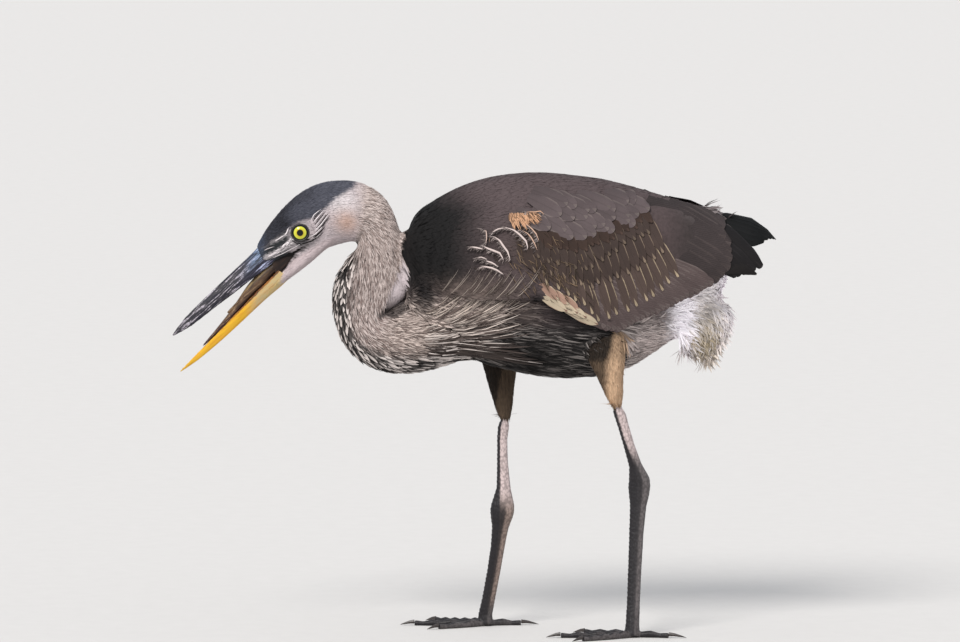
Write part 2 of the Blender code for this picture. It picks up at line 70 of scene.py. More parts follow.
# The feathered outside of the trunk and folded wings: x, top z, bottom z, half width.
SHELL = [
    (-84, 480, 380, 36), (-71, 488, 356, 55), (-52, 498, 332, 70), (-24, 515, 314, 81),
    (16, 530, 305, 88), (69, 536, 296, 91), (134, 527, 292, 89), (192, 515, 305, 81),
    (243, 503, 330, 69), (288, 482, 365, 55), (316, 462, 390, 46), (336, 446, 400, 40),
]
SHELL_FULLNESS = 0.1

EYE = Vector((-200.5, 12.0, 463.0)) * MM

# The nodes that one skin stands for: how deep it lies under the feathers' tips, in millimetres,
# and the way its feathers lie where they don't follow the spine.
FLESH = {
    "head": (2.0, None), "chin": (1.8, None), "neck_nape": (3.4, None), "neck_upper": (3.8, None),
    "neck_fold": (4.2, None), "neck_base": (4.6, None), "trunk": (5.0, (1, 0, -0.1)),
    "rump": (4.5, (1, 0, -0.25)), "vent": (7.0, (0.5, 0, -0.85)),
    "thigh_left": (1.0, (0.12, 0, -1)), "thigh_right": (1.0, (0.06, 0, -1)),
    "wing_left_coverts": (4.6, (0.95, 0, -0.3)), "wing_right_coverts": (4.6, (0.95, 0, -0.3)),
    "wing_left_quills": (3.6, (0.9, 0, -0.3)), "wing_right_quills": (3.6, (0.9, 0, -0.3)),
}
SKIN_VOXEL = 2.4
FOLD_CREASE = (-89, 383, 20, 24)  # x, z and reach of the crease where the skin isn't drawn in
# Where the feathers end on each half of the bill: a place on the line, and the way to the head.
BILL_LINES = {
    "bill_upper": ((-246, 0, 437.5), (0.75, 0, 0.66)),
    "bill_lower": ((-234.5, 0, 403), (0.79, 0, -0.61)),
}

# ---------------------------------------------------------------- colours


def rgb(red, green, blue):
    """A colour given as it shows on a screen, turned into linear light."""
    shown = np.array((red, green, blue)) / 255.0
    return np.where(shown <= 0.04045, shown / 12.92, ((shown + 0.055) / 1.055) ** 2.4)


SLATE = rgb(74, 76, 88)
SLATE_LIGHT = rgb(98, 99, 110)
INK = rgb(34, 30, 31)
WHITE = rgb(228, 220, 222)
LILAC_WHITE = rgb(216, 203, 206)
FOOT_BLUE = rgb(74, 84, 104)
LORES = rgb(66, 69, 72)
EAR_BUFF = rgb(214, 178, 160)
CHIN_PINK = rgb(214, 198, 200)
BILL_CREAM = rgb(214, 190, 132)
PAD_GREY = rgb(160, 148, 147)
EDGE_PINK = rgb(166, 134, 118)
EDGE_CREAM = rgb(198, 182, 158)
NECK_DARK = rgb(134, 117, 112)
NECK_LIGHT = rgb(210, 195, 190)
NAPE_DARK = rgb(156, 139, 133)
NAPE_LIGHT = rgb(228, 212, 206)
BREAST_DARK = rgb(124, 109, 103)
BREAST_LIGHT = rgb(222, 205, 196)
STREAK_DARK = rgb(30, 26, 26)
STREAK_LIGHT = rgb(224, 213, 208)
# painted shade: the near-black of the shoulder, which lies in shadow behind the neck
SHOULDER_SHADE = rgb(26, 23, 24)
MANTLE = rgb(87, 75, 76)
SCAPULAR = rgb(86, 76, 77)
SCAPULAR_EDGE = rgb(102, 92, 90)
BAND = rgb(53, 41, 36)
COVERT = rgb(81, 68, 63)
MEDIAN = rgb(65, 54, 50)
COVERT_EDGE = rgb(122, 106, 92)
CREAM = rgb(164, 147, 124)
PLUME_BUFF = rgb(206, 190, 178)
QUILL = rgb(88, 76, 75)
QUILL_EDGE = rgb(100, 89, 87)
TERTIAL = rgb(60, 53, 53)
TERTIAL_EDGE = rgb(68, 60, 59)
PRIMARY = rgb(30, 28, 29)
TAIL_SLATE = rgb(17, 18, 19)
BELLY_DARK = rgb(38, 34, 33)
VENT_WHITE = rgb(250, 245, 250)
VENT_YELLOW = rgb(170, 155, 130)
FLANK_GREY = rgb(152, 141, 138)
THIGH_BUFF = rgb(222, 186, 152)
# painted shade for the front, inside and top of the thighs, and for the right thigh
THIGH_SHADE = rgb(62, 50, 40)
RUFF_ORANGE = rgb(212, 166, 132)
RUFF_WHITE = rgb(206, 190, 185)
RUFF_GREY = rgb(96, 83, 84)
BARB_TAN = rgb(146, 122, 98)
LEG_BLACK = rgb(24, 22, 26)
LEG_GREY = rgb(104, 98, 98)
LEG_PINK = rgb(208, 190, 188)
LEG_TAN = rgb(150, 131, 122)


def ramp(values, start, end):
    """A smooth step from 0 at start to 1 at end."""
    share = np.clip((values - start) / (end - start), 0.0, 1.0)
    return share * share * (3 - 2 * share)


def mix(first, second, share):
    """Blends two colours, or two rows of colours, by a share for each row."""
    return first + (second - first) * np.asarray(share)[..., None]


def layered(dark, light, layers):
    """Lays colours over a darker and a lighter one: each layer is a share and its own two."""
    for share, darker, lighter in layers:
        dark, light = mix(dark, darker, share), mix(light, lighter, share)
    return dark, light


def blob(x, z, centre_x, centre_z, radius_x, radius_z):
    """A soft ellipse in the side view."""
    return np.exp(-(((x - centre_x) / radius_x) ** 2 + ((z - centre_z) / radius_z) ** 2))


def stroke(x, z, route, width):
    """A soft line along a route in the side view."""
    nearest = np.full(len(x), 1e9)
    for (ax, az), (bx, bz) in zip(route, route[1:]):
        dx, dz = bx - ax, bz - az
        share = np.clip(((x - ax) * dx + (z - az) * dz) / (dx * dx + dz * dz), 0, 1)
        nearest = np.minimum(nearest, np.hypot(x - ax - share * dx, z - az - share * dz))
    return np.exp(-((nearest / width) ** 2))


def inside(x, z, outline):
    """True for points within an outline in the side view."""
    found = np.zeros(len(x), dtype=bool)
    for (ax, az), (bx, bz) in zip(outline, outline[1:] + outline[:1]):
        crosses = (az > z) != (bz > z)
        found ^= crosses & (x < (bx - ax) * (z - az) / (bz - az + 1e-9) + ax)
    return found


def part_of(owner):
    """The first word of each node's name."""
    return np.array([name.split("_")[0] for name in owner])


# The lower edge of the dark crown.
CROWN_EDGE = [
    (-254, 443), (-241, 446), (-228, 457), (-212, 470), (-204, 475), (-190, 479), (-172, 495),
    (-165, 503), (-148, 513), (-141, 522),
]
# The open corner of the mouth, where no feathers grow and the skin is painted near-black as shade in the
# groove.
GAPE = [
    (-194, 450), (-206, 443.5), (-219, 437.5), (-231, 430.5), (-242, 424), (-250, 414), (-232, 404),
    (-223, 417), (-219, 423.5), (-213, 430.5), (-206, 437),
]
LORAL_PATCH = [(-241, 433.5), (-230.5, 438.5), (-221, 445), (-214, 451.5), (-211.5, 457)]
BROW_STREAK = [(-236, 450.5), (-226.5, 454.5), (-217, 461), (-213.5, 467.5)]
# Where the neck folds against the breast: a line of painted shade along the crease.
FOLD_SHADE_LINE = [(-108, 375), (-98, 371), (-88, 376), (-79, 387)]
# A line of painted shadow in the hollow between the front edge of the folded wing and the belly.
UNDERWING_SHADE = [(58, 392), (84, 376), (116, 360), (150, 352)]


def above_crown(x, z):
    """How far points of the head lie above the lower edge of the crown."""
    return z - np.interp(x, *np.transpose(CROWN_EDGE))


def head_colours(x, z):
    """The darker and the lighter feather colour at points of the head."""
    above = above_crown(x, z)
    crown = ramp(above, -2.0, 2.0) * (1 - ramp(x, -146, -140))
    return layered(LILAC_WHITE * 0.82, LILAC_WHITE, [
        (blob(x, z, -159, 498, 18, 13), WHITE * 0.95, WHITE * 1.05),
        (blob(x, z, -153, 476, 13, 13) * 0.85, EAR_BUFF * 0.9, EAR_BUFF * 1.05),
        (ramp(x, -150, -126), NAPE_DARK, NAPE_LIGHT),
        (blob(x, z, -204, 450, 14, 6) * 0.7, LORES * 1.1, LORES * 1.7),
        (crown, SLATE, SLATE_LIGHT),
        ((1 - ramp(x, -220, -211)) * (1 - crown), LORES * 0.6, LORES),
        (blob(x, z, -221, 472, 8, 8) * 0.85, INK * 0.7, SLATE * 0.35),
        ((1 - ramp(x, -232, -208)) * 0.7 * crown, INK, SLATE * 0.6),
        (ramp(above, 16, 26) * (1 - ramp(x, -200, -180)) * 0.5, INK, SLATE * 0.8),
        (ramp(stroke(x, z, BROW_STREAK, 1.5), 0.3, 0.6) * 0.8, WHITE * 0.6, WHITE * 0.95),
        (ramp(stroke(x, z, LORAL_PATCH, 2.7), 0.25, 0.6), WHITE * 0.75, WHITE * 1.15),
        ((1 - ramp(x, -249, -238)) * 0.8, FOOT_BLUE * 0.7, FOOT_BLUE * 1.5),
        # painted shade in the open corner of the mouth
        (inside(x, z, GAPE), INK * 0.6, INK * 0.6),
    ])


def chin_colours(x, z):
    """The same for the chin."""
    foot = 1 - ramp(x - 0.2 * (z - 400), -229, -224)
    return layered(CHIN_PINK * 0.94, CHIN_PINK * 1.03, [
        (foot, BILL_CREAM * 0.9, BILL_CREAM * 1.1),
        # painted shade in the open corner of the mouth
        (inside(x, z, GAPE), INK * 0.6, INK * 0.6),
    ])


def throat_edge(place):
    """How high up the side of the neck its streaked front reaches, by the place along it."""
    return np.interp(place, [6, 9, 11, 14, 17], [-0.62, -0.52, -0.42, -0.36, -0.48])


def neck_colours(place, height):
    """The same for the neck: place along the spine, and height from throat (-1) to back (1)."""
    upper = 1 - ramp(place, 7.0, 9.5)
    throat = (1 - ramp(height - throat_edge(place), -0.12, 0.12)) * ramp(place, 6.2, 7.4)
    dark = mix(NECK_DARK, NAPE_DARK, upper)
    light = mix(NECK_LIGHT, NAPE_LIGHT, upper * ramp(height, -0.6, 0.2))
    return layered(dark, light, [
        (ramp(place, 12.0, 15.0), BREAST_DARK, BREAST_LIGHT), (throat, STREAK_DARK, STREAK_LIGHT),
    ])


def trunk_colours(x, z, wing):
    """The same for the trunk, rump, vent and wings: wing is 1 on the wings and 0 elsewhere."""
    front = (1 - ramp(x, -46, 22)) * (1 - ramp(z, 478, 516)) * ramp(z, 386, 412)
    shaggy = blob(x, z, 256, 348, 24, 44) * ramp(x, 232, 246)
    body = 1 - wing
    return layered(MANTLE * 0.92, MANTLE * 1.08, [
        (blob(x, z, 110, 450, 90, 26), BAND, BAND * 1.5),
        (ramp(x, 210, 250) * ramp(z, 420, 450), TERTIAL, TERTIAL * 1.2),
        # painted shade over the front of the shoulder, hidden behind the neck
        (front, SHOULDER_SHADE * 0.3, SHOULDER_SHADE * 0.5),
        (blob(x, z, -10, 402, 46, 15), BREAST_DARK * 0.7, BREAST_DARK * 1.1),
        ((1 - ramp(z, 380, 404)) * (1 - ramp(x, 0, 60)), BREAST_DARK * 0.7, BREAST_LIGHT),
        ((1 - ramp(z, 350, 376)) * ramp(x, -60, 0), BELLY_DARK * 0.6, STREAK_LIGHT * 0.62),
        (blob(x, z, 32, 326, 34, 20), BELLY_DARK * 0.3, BELLY_DARK),
        # painted shadow under the front edge of the folded wing
        (stroke(x, z, UNDERWING_SHADE, 12), INK * 0.3, INK * 0.6),
        # painted shadow between the pad at the back of the neck and the shoulder
        (blob(x, z, -68, 400, 14, 24), SHOULDER_SHADE * 0.5, SHOULDER_SHADE * 0.8),
        (blob(x, z, 190, 336, 36, 32) * body, FLANK_GREY * 0.9, FLANK_GREY * 1.7),
        (ramp(x, 200, 222) * (1 - ramp(z, 420, 434)) * body, VENT_WHITE * 0.9, VENT_WHITE * 1.1),
        (shaggy * body, VENT_YELLOW * 0.55, VENT_YELLOW * 1.15),
        (blob(x, z, 272, 494, 22, 12), FLANK_GREY * 0.8, LILAC_WHITE * 0.9),
        (ramp(x, 258, 286) * (1 - ramp(z, 436, 452)) * wing, PRIMARY, PRIMARY),
    ])


def thigh_colours(x, y, z):
    """The same for the thighs: buff outside the left, painted shade in front, inside, on the right and
    at the top.
    """
    left = y < 0
    front = ramp(np.where(left, 151, 27) - x + 0.16 * (z - 300), -3, 9)
    inner = np.where(left, ramp(y, -48, -34), 1.0)
    # painted shade: in front, inside, over the right thigh and under the wing at the top
    shade = np.clip(front * 0.85 + inner * 0.9 + ramp(z, 318, 336) * 0.35, 0, 1)
    return layered(THIGH_BUFF * 0.82, THIGH_BUFF * 1.2, [(shade, THIGH_SHADE * 0.3, THIGH_SHADE * 0.65)])


def on_pad(x, z, part, height):
    """True on the smooth pale pad at the back of the neck, where it meets the shoulders."""
    found = (x > -96 + 0.41 * (z - 405)) & (z > 377) & (z < 440) & (x > -112)
    return found & (part == "neck") & (height > 0.1)


def plumage(points, owner, place, height):
    """The darker and lighter feather colour at points on the bird, by the node that owns them."""
    x, y, z = (points / MM).T
    part = part_of(owner)
    dark, light = trunk_colours(x, z, (part == "wing").astype(float))
    others = {"head": head_colours(x, z), "chin": chin_colours(x, z),
              "neck": neck_colours(place, height), "thigh": thigh_colours(x, y, z)}
    for word, (darker, lighter) in others.items():
        mine = part == word
        dark[mine], light[mine] = darker[mine], lighter[mine]
    pad = on_pad(x, z, part, height)
    pale = ramp(z[pad] + 0.8 * x[pad], 296, 330)
    dark[pad] = mix(PAD_GREY * 0.9, LILAC_WHITE * 0.92, pale)
    light[pad] = mix(PAD_GREY, LILAC_WHITE * 1.02, pale)
    # painted shade: the neck turns near-black along its fold against the breast
    hollow = ramp(stroke(x, z, FOLD_SHADE_LINE, 6), 0.15, 0.7) * (part == "neck")
    return mix(dark, INK, hollow * 0.85), mix(light, INK * 2, hollow * 0.8)


# ---------------------------------------------------------------- modelling helpers


def only(*objects):
    """Selects these objects and nothing else, the first of them active."""
    bpy.ops.object.select_all(action="DESELECT")
    for obj in objects:
        obj.select_set(True)
    bpy.context.view_layer.objects.active = objects[0]


def joined(name, pieces):
    """Several meshes made one."""
    only(*pieces)
    bpy.ops.object.join()
    made = bpy.context.view_layer.objects.active
    made.name = made.data.name = name
    return made


def primitive(add, name, **settings):
    """A new primitive at its size and place, with nothing else selected."""
    bpy.ops.object.select_all(action="DESELECT")
    add(**settings)
    made = bpy.context.active_object
    made.name = made.data.name = name
    return made


def edit(*steps):
    """Edits the active mesh: each step is an operator and its settings, used on all of it."""
    bpy.ops.object.mode_set(mode="EDIT")
    for operator, settings in steps:
        bpy.ops.mesh.select_all(action="SELECT")
        operator(**settings)
    bpy.ops.object.mode_set(mode="OBJECT")


def cut(place, way, **settings):
    """The step that cuts a mesh by a plane."""
    return bpy.ops.mesh.bisect, {"plane_co": place, "plane_no": way, **settings}


def outward():
    """The step that turns all faces outwards."""
    return bpy.ops.mesh.normals_make_consistent, {"inside": False}


def apply_modifier(obj, kind, **settings):
    """Adds a modifier and applies it."""
    only(obj)
    step = obj.modifiers.new(kind.lower(), kind)
    for name, value in settings.items():
        setattr(step, name, value)
    bpy.ops.object.modifier_apply(modifier=step.name)


def wrap(obj, voxel, rounds):
    """Wraps a mesh in a new one of even faces, and smooths it."""
    apply_modifier(obj, "REMESH", mode="VOXEL", voxel_size=voxel * MM)
    apply_modifier(obj, "SMOOTH", factor=0.5, iterations=rounds)


def settle(obj):
    """Puts the object's place, turn and scale into its mesh."""
    only(obj)
    bpy.ops.object.transform_apply(location=True, rotation=True, scale=True)


def merged_copy(name, nodes):
    """A copy of CAD nodes as one mesh with its doubles merged."""
    copies = []
    for node in nodes:
        copy = bpy.data.objects.new(node + "_copy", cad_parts[node].data.copy())
        bpy.context.scene.collection.objects.link(copy)
        copies.append(copy)
    made = joined(name, copies)
    edit((bpy.ops.mesh.remove_doubles, {"threshold": 0.00001}))
    return made


def smooth(obj):
    """Shades a piece smooth."""
    only(obj)
    bpy.ops.object.shade_smooth()


def smooth_copy(name, nodes, voxel, rounds):
    """CAD nodes as one smooth mesh."""
    piece = merged_copy(name, nodes)
    wrap(piece, voxel, rounds)
    smooth(piece)
    return piece


def read(items, name, width, kind=float):
    """One attribute of every vertex, edge or corner, in rows."""
    values = np.zeros(len(items) * width, dtype=kind)
    items.foreach_get(name, values)
    return values.reshape(-1, width)


def coordinates(obj):
    """The place of every vertex."""
    return read(obj.data.vertices, "co", 3)


def set_coordinates(obj, points):
    """Moves every vertex to its new place."""
    obj.data.vertices.foreach_set("co", points.ravel())
    obj.data.update()


def vertex_normals(obj):
    """The normal of every vertex."""
    return read(obj.data.vertex_normals, "vector", 3)


def edge_pairs(obj):
    """The two vertices of every edge."""
    return read(obj.data.edges, "vertices", 2, np.int64)


def swell(obj, reach):
    """Moves the surface outwards."""
    set_coordinates(obj, coordinates(obj) + vertex_normals(obj) * reach * MM)


def relax(values, pairs, rounds):
    """Averages each vertex's values with its neighbours'."""
    count = np.bincount(pairs.ravel(), minlength=len(values))[:, None]
    for _ in range(rounds):
        total = np.zeros_like(values)
        np.add.at(total, pairs[:, 0], values[pairs[:, 1]])
        np.add.at(total, pairs[:, 1], values[pairs[:, 0]])
        values = values + (total / np.maximum(count, 1) - values) * 0.5
    return values


def unit(vectors):
    """The vectors at length one."""
    return vectors / np.maximum(np.linalg.norm(vectors, axis=-1, keepdims=True), 1e-12)


def laid_flat(ways, normals):
    """The ways turned to run along the surface."""
    return unit(ways - normals * (ways * normals).sum(axis=1, keepdims=True))


def along_line(line, shares):
    """Points at shares of the length of a line, each with as many numbers as the line's own."""
    line = np.array(line, dtype=float)
    step = np.linalg.norm(np.diff(line[:, :2], axis=0), axis=1)
    reach = np.concatenate([[0], np.cumsum(step)]) / step.sum()
    return np.stack([np.interp(shares, reach, column) for column in line.T], axis=1)


def paint_vertices(obj, name, colours):
    """Stores a colour for each vertex."""
    attribute = obj.data.color_attributes.new(name, "FLOAT_COLOR", "POINT")
    attribute.data.foreach_set("color", np.insert(colours, 3, 1.0, axis=1).ravel())


# ---------------------------------------------------------------- the skin


def spine_place(points, owner):
    """Each point's place along the spine, its height from throat to back, and the onward way."""
    last = len(SPINE) - 1
    fine = np.linspace(0, last, last * SPINE_STEPS + 1)
    ends = np.stack([np.interp(fine, np.arange(last + 1), column) for column in zip(*SPINE)], axis=1)
    middle = (ends[:, :2] + ends[:, 2:]) / 2
    up = (ends[:, :2] - ends[:, 2:]) / 2
    half_height = np.linalg.norm(up, axis=1)
    up = up / half_height[:, None]
    side_view = points[:, [0, 2]] / MM
    place, height = np.zeros((2, len(points)))
    way = np.zeros((len(points), 3))
    for node, (start, end) in SPINE_RANGE.items():
        mine = np.flatnonzero(owner == node)
        allowed = np.flatnonzero((fine >= start) & (fine <= end))
        gap = np.linalg.norm(side_view[mine][:, None] - middle[allowed][None], axis=2)
        nearest = allowed[gap.argmin(axis=1)]
        place[mine] = fine[nearest]
        offset = side_view[mine] - middle[nearest]
        height[mine] = (offset * up[nearest]).sum(axis=1) / half_height[nearest]
        way[mine, 0] = up[nearest, 1]
        way[mine, 2] = -up[nearest, 0]
    return place, height, way


def node_tree(names):
    """A search tree over the faces of CAD nodes, and the node of each face."""
    points, faces, owners = [], [], []
    for name in names:
        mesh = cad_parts[name].data
        start = len(points)
        points.extend(vertex.co.copy() for vertex in mesh.vertices)
        for polygon in mesh.polygons:
            faces.append([start + index for index in polygon.vertices])
            owners.append(name)
    return BVHTree.FromPolygons(points, faces), np.array(owners)


def bill_foot(node):
    """The foot of half the bill, a little swollen, for the skin to run on over the horn."""
    foot = merged_copy(node + "_foot", [node])
    place, way = BILL_LINES[node]
    edit(cut(Vector(place) * MM, way, clear_inner=True, use_fill=True))
    swell(foot, 0.8)
    return foot


def make_skin():
    """One skin over head, neck, trunk, wings and thighs, under the coat."""
    skin = joined("skin", [merged_copy("skin", FLESH), *(bill_foot(node) for node in BILL_LINES)])
    wrap(skin, SKIN_VOXEL, 5)
    tree, owners = node_tree(FLESH)
    points = coordinates(skin)
    owner = owners[[tree.find_nearest(Vector(point))[2] for point in points]]
    neck = part_of(owner) == "neck"
    pairs, normals = edge_pairs(skin), vertex_normals(skin)
    x, _, z = (points / MM).T
    depth = np.array([FLESH[name][0] for name in owner])[:, None] * MM
    depth = depth * (0.05 + 0.95 * ramp(x, -250, -218))[:, None]
    depth = depth - 10.5 * MM * blob(x, z, *FOLD_CREASE)[:, None]
    points = points - normals * relax(depth, pairs, 12)
    pad = blob(x, z, -84, 410, 14, 24) * neck * np.clip(normals[:, 0] + 0.2, 0, 1)
    back = blob(x, z, -80, 408, 13, 22) * ~neck
    points[:, 0] += 8.0 * MM * relax((pad + back)[:, None], pairs, 4)[:, 0]
    points -= normals * 1.7 * MM * (1 - ramp(x, -256, -238))[:, None]
    points = relax(points, pairs, 4)
    shoulder = ramp(x, -74, -56) * (1 - ramp(x, 110, 150)) * ramp(z, 366, 426)
    thigh_top = ramp(z, 316, 328) * (1 - ramp(z, 352, 372))
    thigh_top = thigh_top * ramp(x, 96, 116) * (1 - ramp(x, 200, 220))
    for rounds, share in ((130, shoulder), (40, thigh_top)):
        points = points + (relax(points, pairs, rounds) - points) * share[:, None]
    set_coordinates(skin, points)
    smooth(skin)
    skin.data.uv_layers.new(name="OFBake")
    edit((bpy.ops.mesh.quads_convert_to_tris, {}),
         (bpy.ops.uv.smart_project, {"angle_limit": math.radians(66), "island_margin": 0.004}))
    return skin, owner, tree


class Ground:
    """What the feathers grow from: the skin's faces with their normals, lie, colours and unwrap."""

    def __init__(self, skin, owner):
        self.points, self.normals = coordinates(skin), vertex_normals(skin)
        self.place, self.height, way = spine_place(self.points, owner)
        for node, (_, lie) in FLESH.items():
            if lie:
                way[owner == node] = lie
        self.lie = laid_flat(relax(unit(way), edge_pairs(skin), 60), self.normals)
        self.faces = read(skin.data.loops, "vertex_index", 1, np.int64).reshape(-1, 3)
        self.unwrap = read(skin.data.uv_layers["OFBake"].data, "uv", 2).reshape(-1, 3, 2)
        a, b, c = self.corners(self.faces)
        self.area = np.linalg.norm(np.cross(b - a, c - a), axis=1) / 2
        self.centre = (a + b + c) / 3 / MM
        self.tree = BVHTree.FromPolygons(self.points.tolist(), self.faces.tolist())
        self.dark, self.light = plumage(self.points, owner, self.place, self.height)
        self.face_owner = owner[self.faces[:, 0]]

    def corners(self, faces):
        """The three corner points of faces."""
        return (self.points[faces[:, k]] for k in range(3))

    def roots(self, chosen, spacing, rng):
        """Root places spread over the chosen faces, about one in each cell of that spacing."""
        allowed = np.flatnonzero(chosen)
        area = self.area[allowed]
        tries = int(6 * area.sum() / spacing**2)
        face = rng.choice(allowed, size=tries, p=area / area.sum())
        share = rng.random((tries, 2))
        flip = share.sum(axis=1) > 1
        share[flip] = 1 - share[flip]
        weight = np.stack([1 - share.sum(axis=1), share[:, 0], share[:, 1]], axis=1)
        corner = self.faces[face]
        point = (self.points[corner] * weight[:, :, None]).sum(axis=1)
        cell = np.floor(point / spacing).astype(np.int64)
        key = (cell[:, 0] * 4099 + cell[:, 1]) * 4099 + cell[:, 2]
        _, first = np.unique(key, return_index=True)
        return self.bundle(face[first], corner[first], weight[first], point[first])

    def bundle(self, face, corner, weight, point):
        """Everything known about the skin at some places on it."""
        nearest = corner[np.arange(len(corner)), weight.argmax(axis=1)]
        share = weight[:, :, None]
        normal, lie, dark, light = (
            (values[corner] * share).sum(axis=1)
            for values in (self.normals, self.lie, self.dark, self.light)
        )
        normal = unit(normal)
        return {
            "point": point, "normal": normal, "lie": laid_flat(lie, normal), "dark": dark,
            "light": light, "unwrap": (self.unwrap[face] * share).sum(axis=1),
            "x": point[:, 0] / MM, "z": point[:, 2] / MM,
            "place": self.place[nearest], "height": self.height[nearest],
        }

    def under(self, points):
        """What is known about the skin under some points near it."""
        hits = [self.tree.find_nearest(Vector(point)) for point in points]
        face = np.array([hit[2] for hit in hits])
        found = np.array([hit[0] for hit in hits])
        corner = self.faces[face]
        a, b, c = self.corners(corner)
        whole = np.cross(b - a, c - a)
        size = (whole * whole).sum(axis=1)
        beta = (np.cross(found - a, c - a) * whole).sum(axis=1) / size
        gamma = (np.cross(b - a, found - a) * whole).sum(axis=1) / size
        weight = np.clip(np.stack([1 - beta - gamma, beta, gamma], axis=1), 0, 1)
        weight /= weight.sum(axis=1, keepdims=True)
        return self.bundle(face, corner, weight, found)


# ---------------------------------------------------------------- feathers

BAKE_PATCH = 0.003  # how much of the bake map a feather takes
CREASE = 50  # degrees over which an edge of a feather stays sharp


class Vane:
    """A feather modelled once: u across from -1 to 1, v along from 0 to 1, h its thickness."""

    def __init__(self, obj):
        self.u, self.v, self.h = coordinates(obj).T
        self.faces = [tuple(polygon.vertices) for polygon in obj.data.polygons]
        bpy.data.objects.remove(obj)


def model_tuft(name, rings):
    """A slim blade with a ridge on top: a three-sided cone, cut and swelled at each ring."""
    obj = primitive(bpy.ops.mesh.primitive_cone_add, name, vertices=3, radius1=1, radius2=0, depth=1,
                    location=(0, 0.5, 0), rotation=(-math.pi / 2, math.pi, 0))
    settle(obj)
    edit(*[cut((0, v, 0), (0, 1, 0)) for v, _ in rings])
    points = coordinates(obj)
    stations, widths = np.transpose([(0.0, rings[0][1] * 0.55), *rings, (1.0, 0.0)])
    size = np.interp(points[:, 1], stations, widths)
    natural = np.maximum(1 - points[:, 1], 1e-6)
    points[:, 0] *= size / natural / math.cos(math.pi / 6)
    points[:, 2] *= np.where(size > 0, 1, 0) / natural
    set_coordinates(obj, points)
    return Vane(obj)


def model_vane(name, lengthways, profile, point):
    """A broad feather: a grid drawn in to its outline, with a wall by Solidify."""
    obj = primitive(bpy.ops.mesh.primitive_grid_add, name, x_subdivisions=4,
                    y_subdivisions=lengthways, size=1, location=(0, 0.5, 0))
    settle(obj)
    points = coordinates(obj)
    v = points[:, 1]
    points[:, 0] *= 2 * np.interp(v, *np.transpose(profile))
    points[:, 1] = v - point * v**4 * np.abs(points[:, 0]) ** 2
    set_coordinates(obj, points)
    apply_modifier(obj, "SOLIDIFY", thickness=2.0, offset=0.0)
    edit(outward())
    return Vane(obj)


def mesh_of(name, vane, points, roots, root, tip, edge=None, ridge=None):
    """The feathers' mesh with its vane map, its bake map and its colours."""
    count, corners = points.shape[:2]
    sizes = [len(face) for face in vane.faces]
    pattern = np.concatenate(vane.faces)
    loops = (np.arange(count)[:, None] * corners + pattern).ravel()
    mesh = bpy.data.meshes.new(name)
    mesh.vertices.add(count * corners)
    mesh.vertices.foreach_set("co", points.reshape(-1).astype(np.float32))
    mesh.loops.add(len(loops))
    mesh.loops.foreach_set("vertex_index", loops.astype(np.int32))
    mesh.polygons.add(count * len(sizes))
    firsts = np.concatenate([[0], np.cumsum(np.tile(sizes, count))[:-1]])
    mesh.polygons.foreach_set("loop_start", firsts.astype(np.int32))
    mesh.update(calc_edges=True)
    obj = bpy.data.objects.new(name, mesh)
    bpy.context.scene.collection.objects.link(obj)

    local = np.stack([(vane.u + 1) / 2, vane.v], axis=1)[pattern]
    bake = roots["unwrap"][:, None] + (local - 0.5) * BAKE_PATCH
    for title, values in (("Vane", np.tile(local, (count, 1))), ("OFBake", bake)):
        layer = mesh.uv_layers.new(name=title)
        layer.data.foreach_set("uv", values.reshape(-1).astype(np.float32))

    along, off = vane.v[:, None], np.abs(vane.u)[:, None]
    colour = root[:, None] * (1 - along) + tip[:, None] * along
    for over, share in ((edge, off**2 * np.clip(along * 2.5, 0, 1)), (ridge, (1 - off) ** 2)):
        if over is not None:
            colour = colour * (1 - share) + over[:, None] * share
    paint_vertices(obj, "Tint", colour.reshape(-1, 3))
    only(obj)
    bpy.ops.object.shade_smooth_by_angle(angle=math.radians(CREASE))
    return obj


# ---------------------------------------------------------------- the body's coat

COAT_GAIN = 0.8  # the share of its colour that a feather of the coat is given


def follow(ground, roots, length, tip_height):
    """How a feather leaves the skin and bends back, so that its tip ends at a height over it."""
    ahead = roots["point"] + roots["lie"] * length[:, None]
    found = np.array([ground.tree.find_nearest(Vector(point))[0] for point in ahead])
    drop = ((ahead - found) * roots["normal"]).sum(axis=1)
    drop = np.clip(drop, -0.5 * length, 0.7 * length)
    return 1.6 * tip_height / length, (0.6 * tip_height + drop) / length


def sized(size, roots):
    """A size at each root: one number, a rule, or a row of sizes along x, z or the spine."""
    if callable(size):
        return size(roots)
    if isinstance(size, tuple):
        key, places, sizes = size
        return np.interp(roots[key], places, sizes)
    return size


def tip_colours(roots, rng, spread, light_share, tone):
    """A colour for each feather's tip, between its place's darker and lighter colour."""
    count = len(roots["x"])
    if light_share is None:
        pick = np.clip(rng.normal(0.5, spread, count), 0, 1)
    else:
        pick = np.where(rng.random(count) < light_share, 0.95, 0.08) + rng.normal(0, spread, count)
        pick = np.clip(pick, 0, 1.1)
    return mix(roots["dark"], roots["light"], pick) * rng.normal(1, tone, count)[:, None]


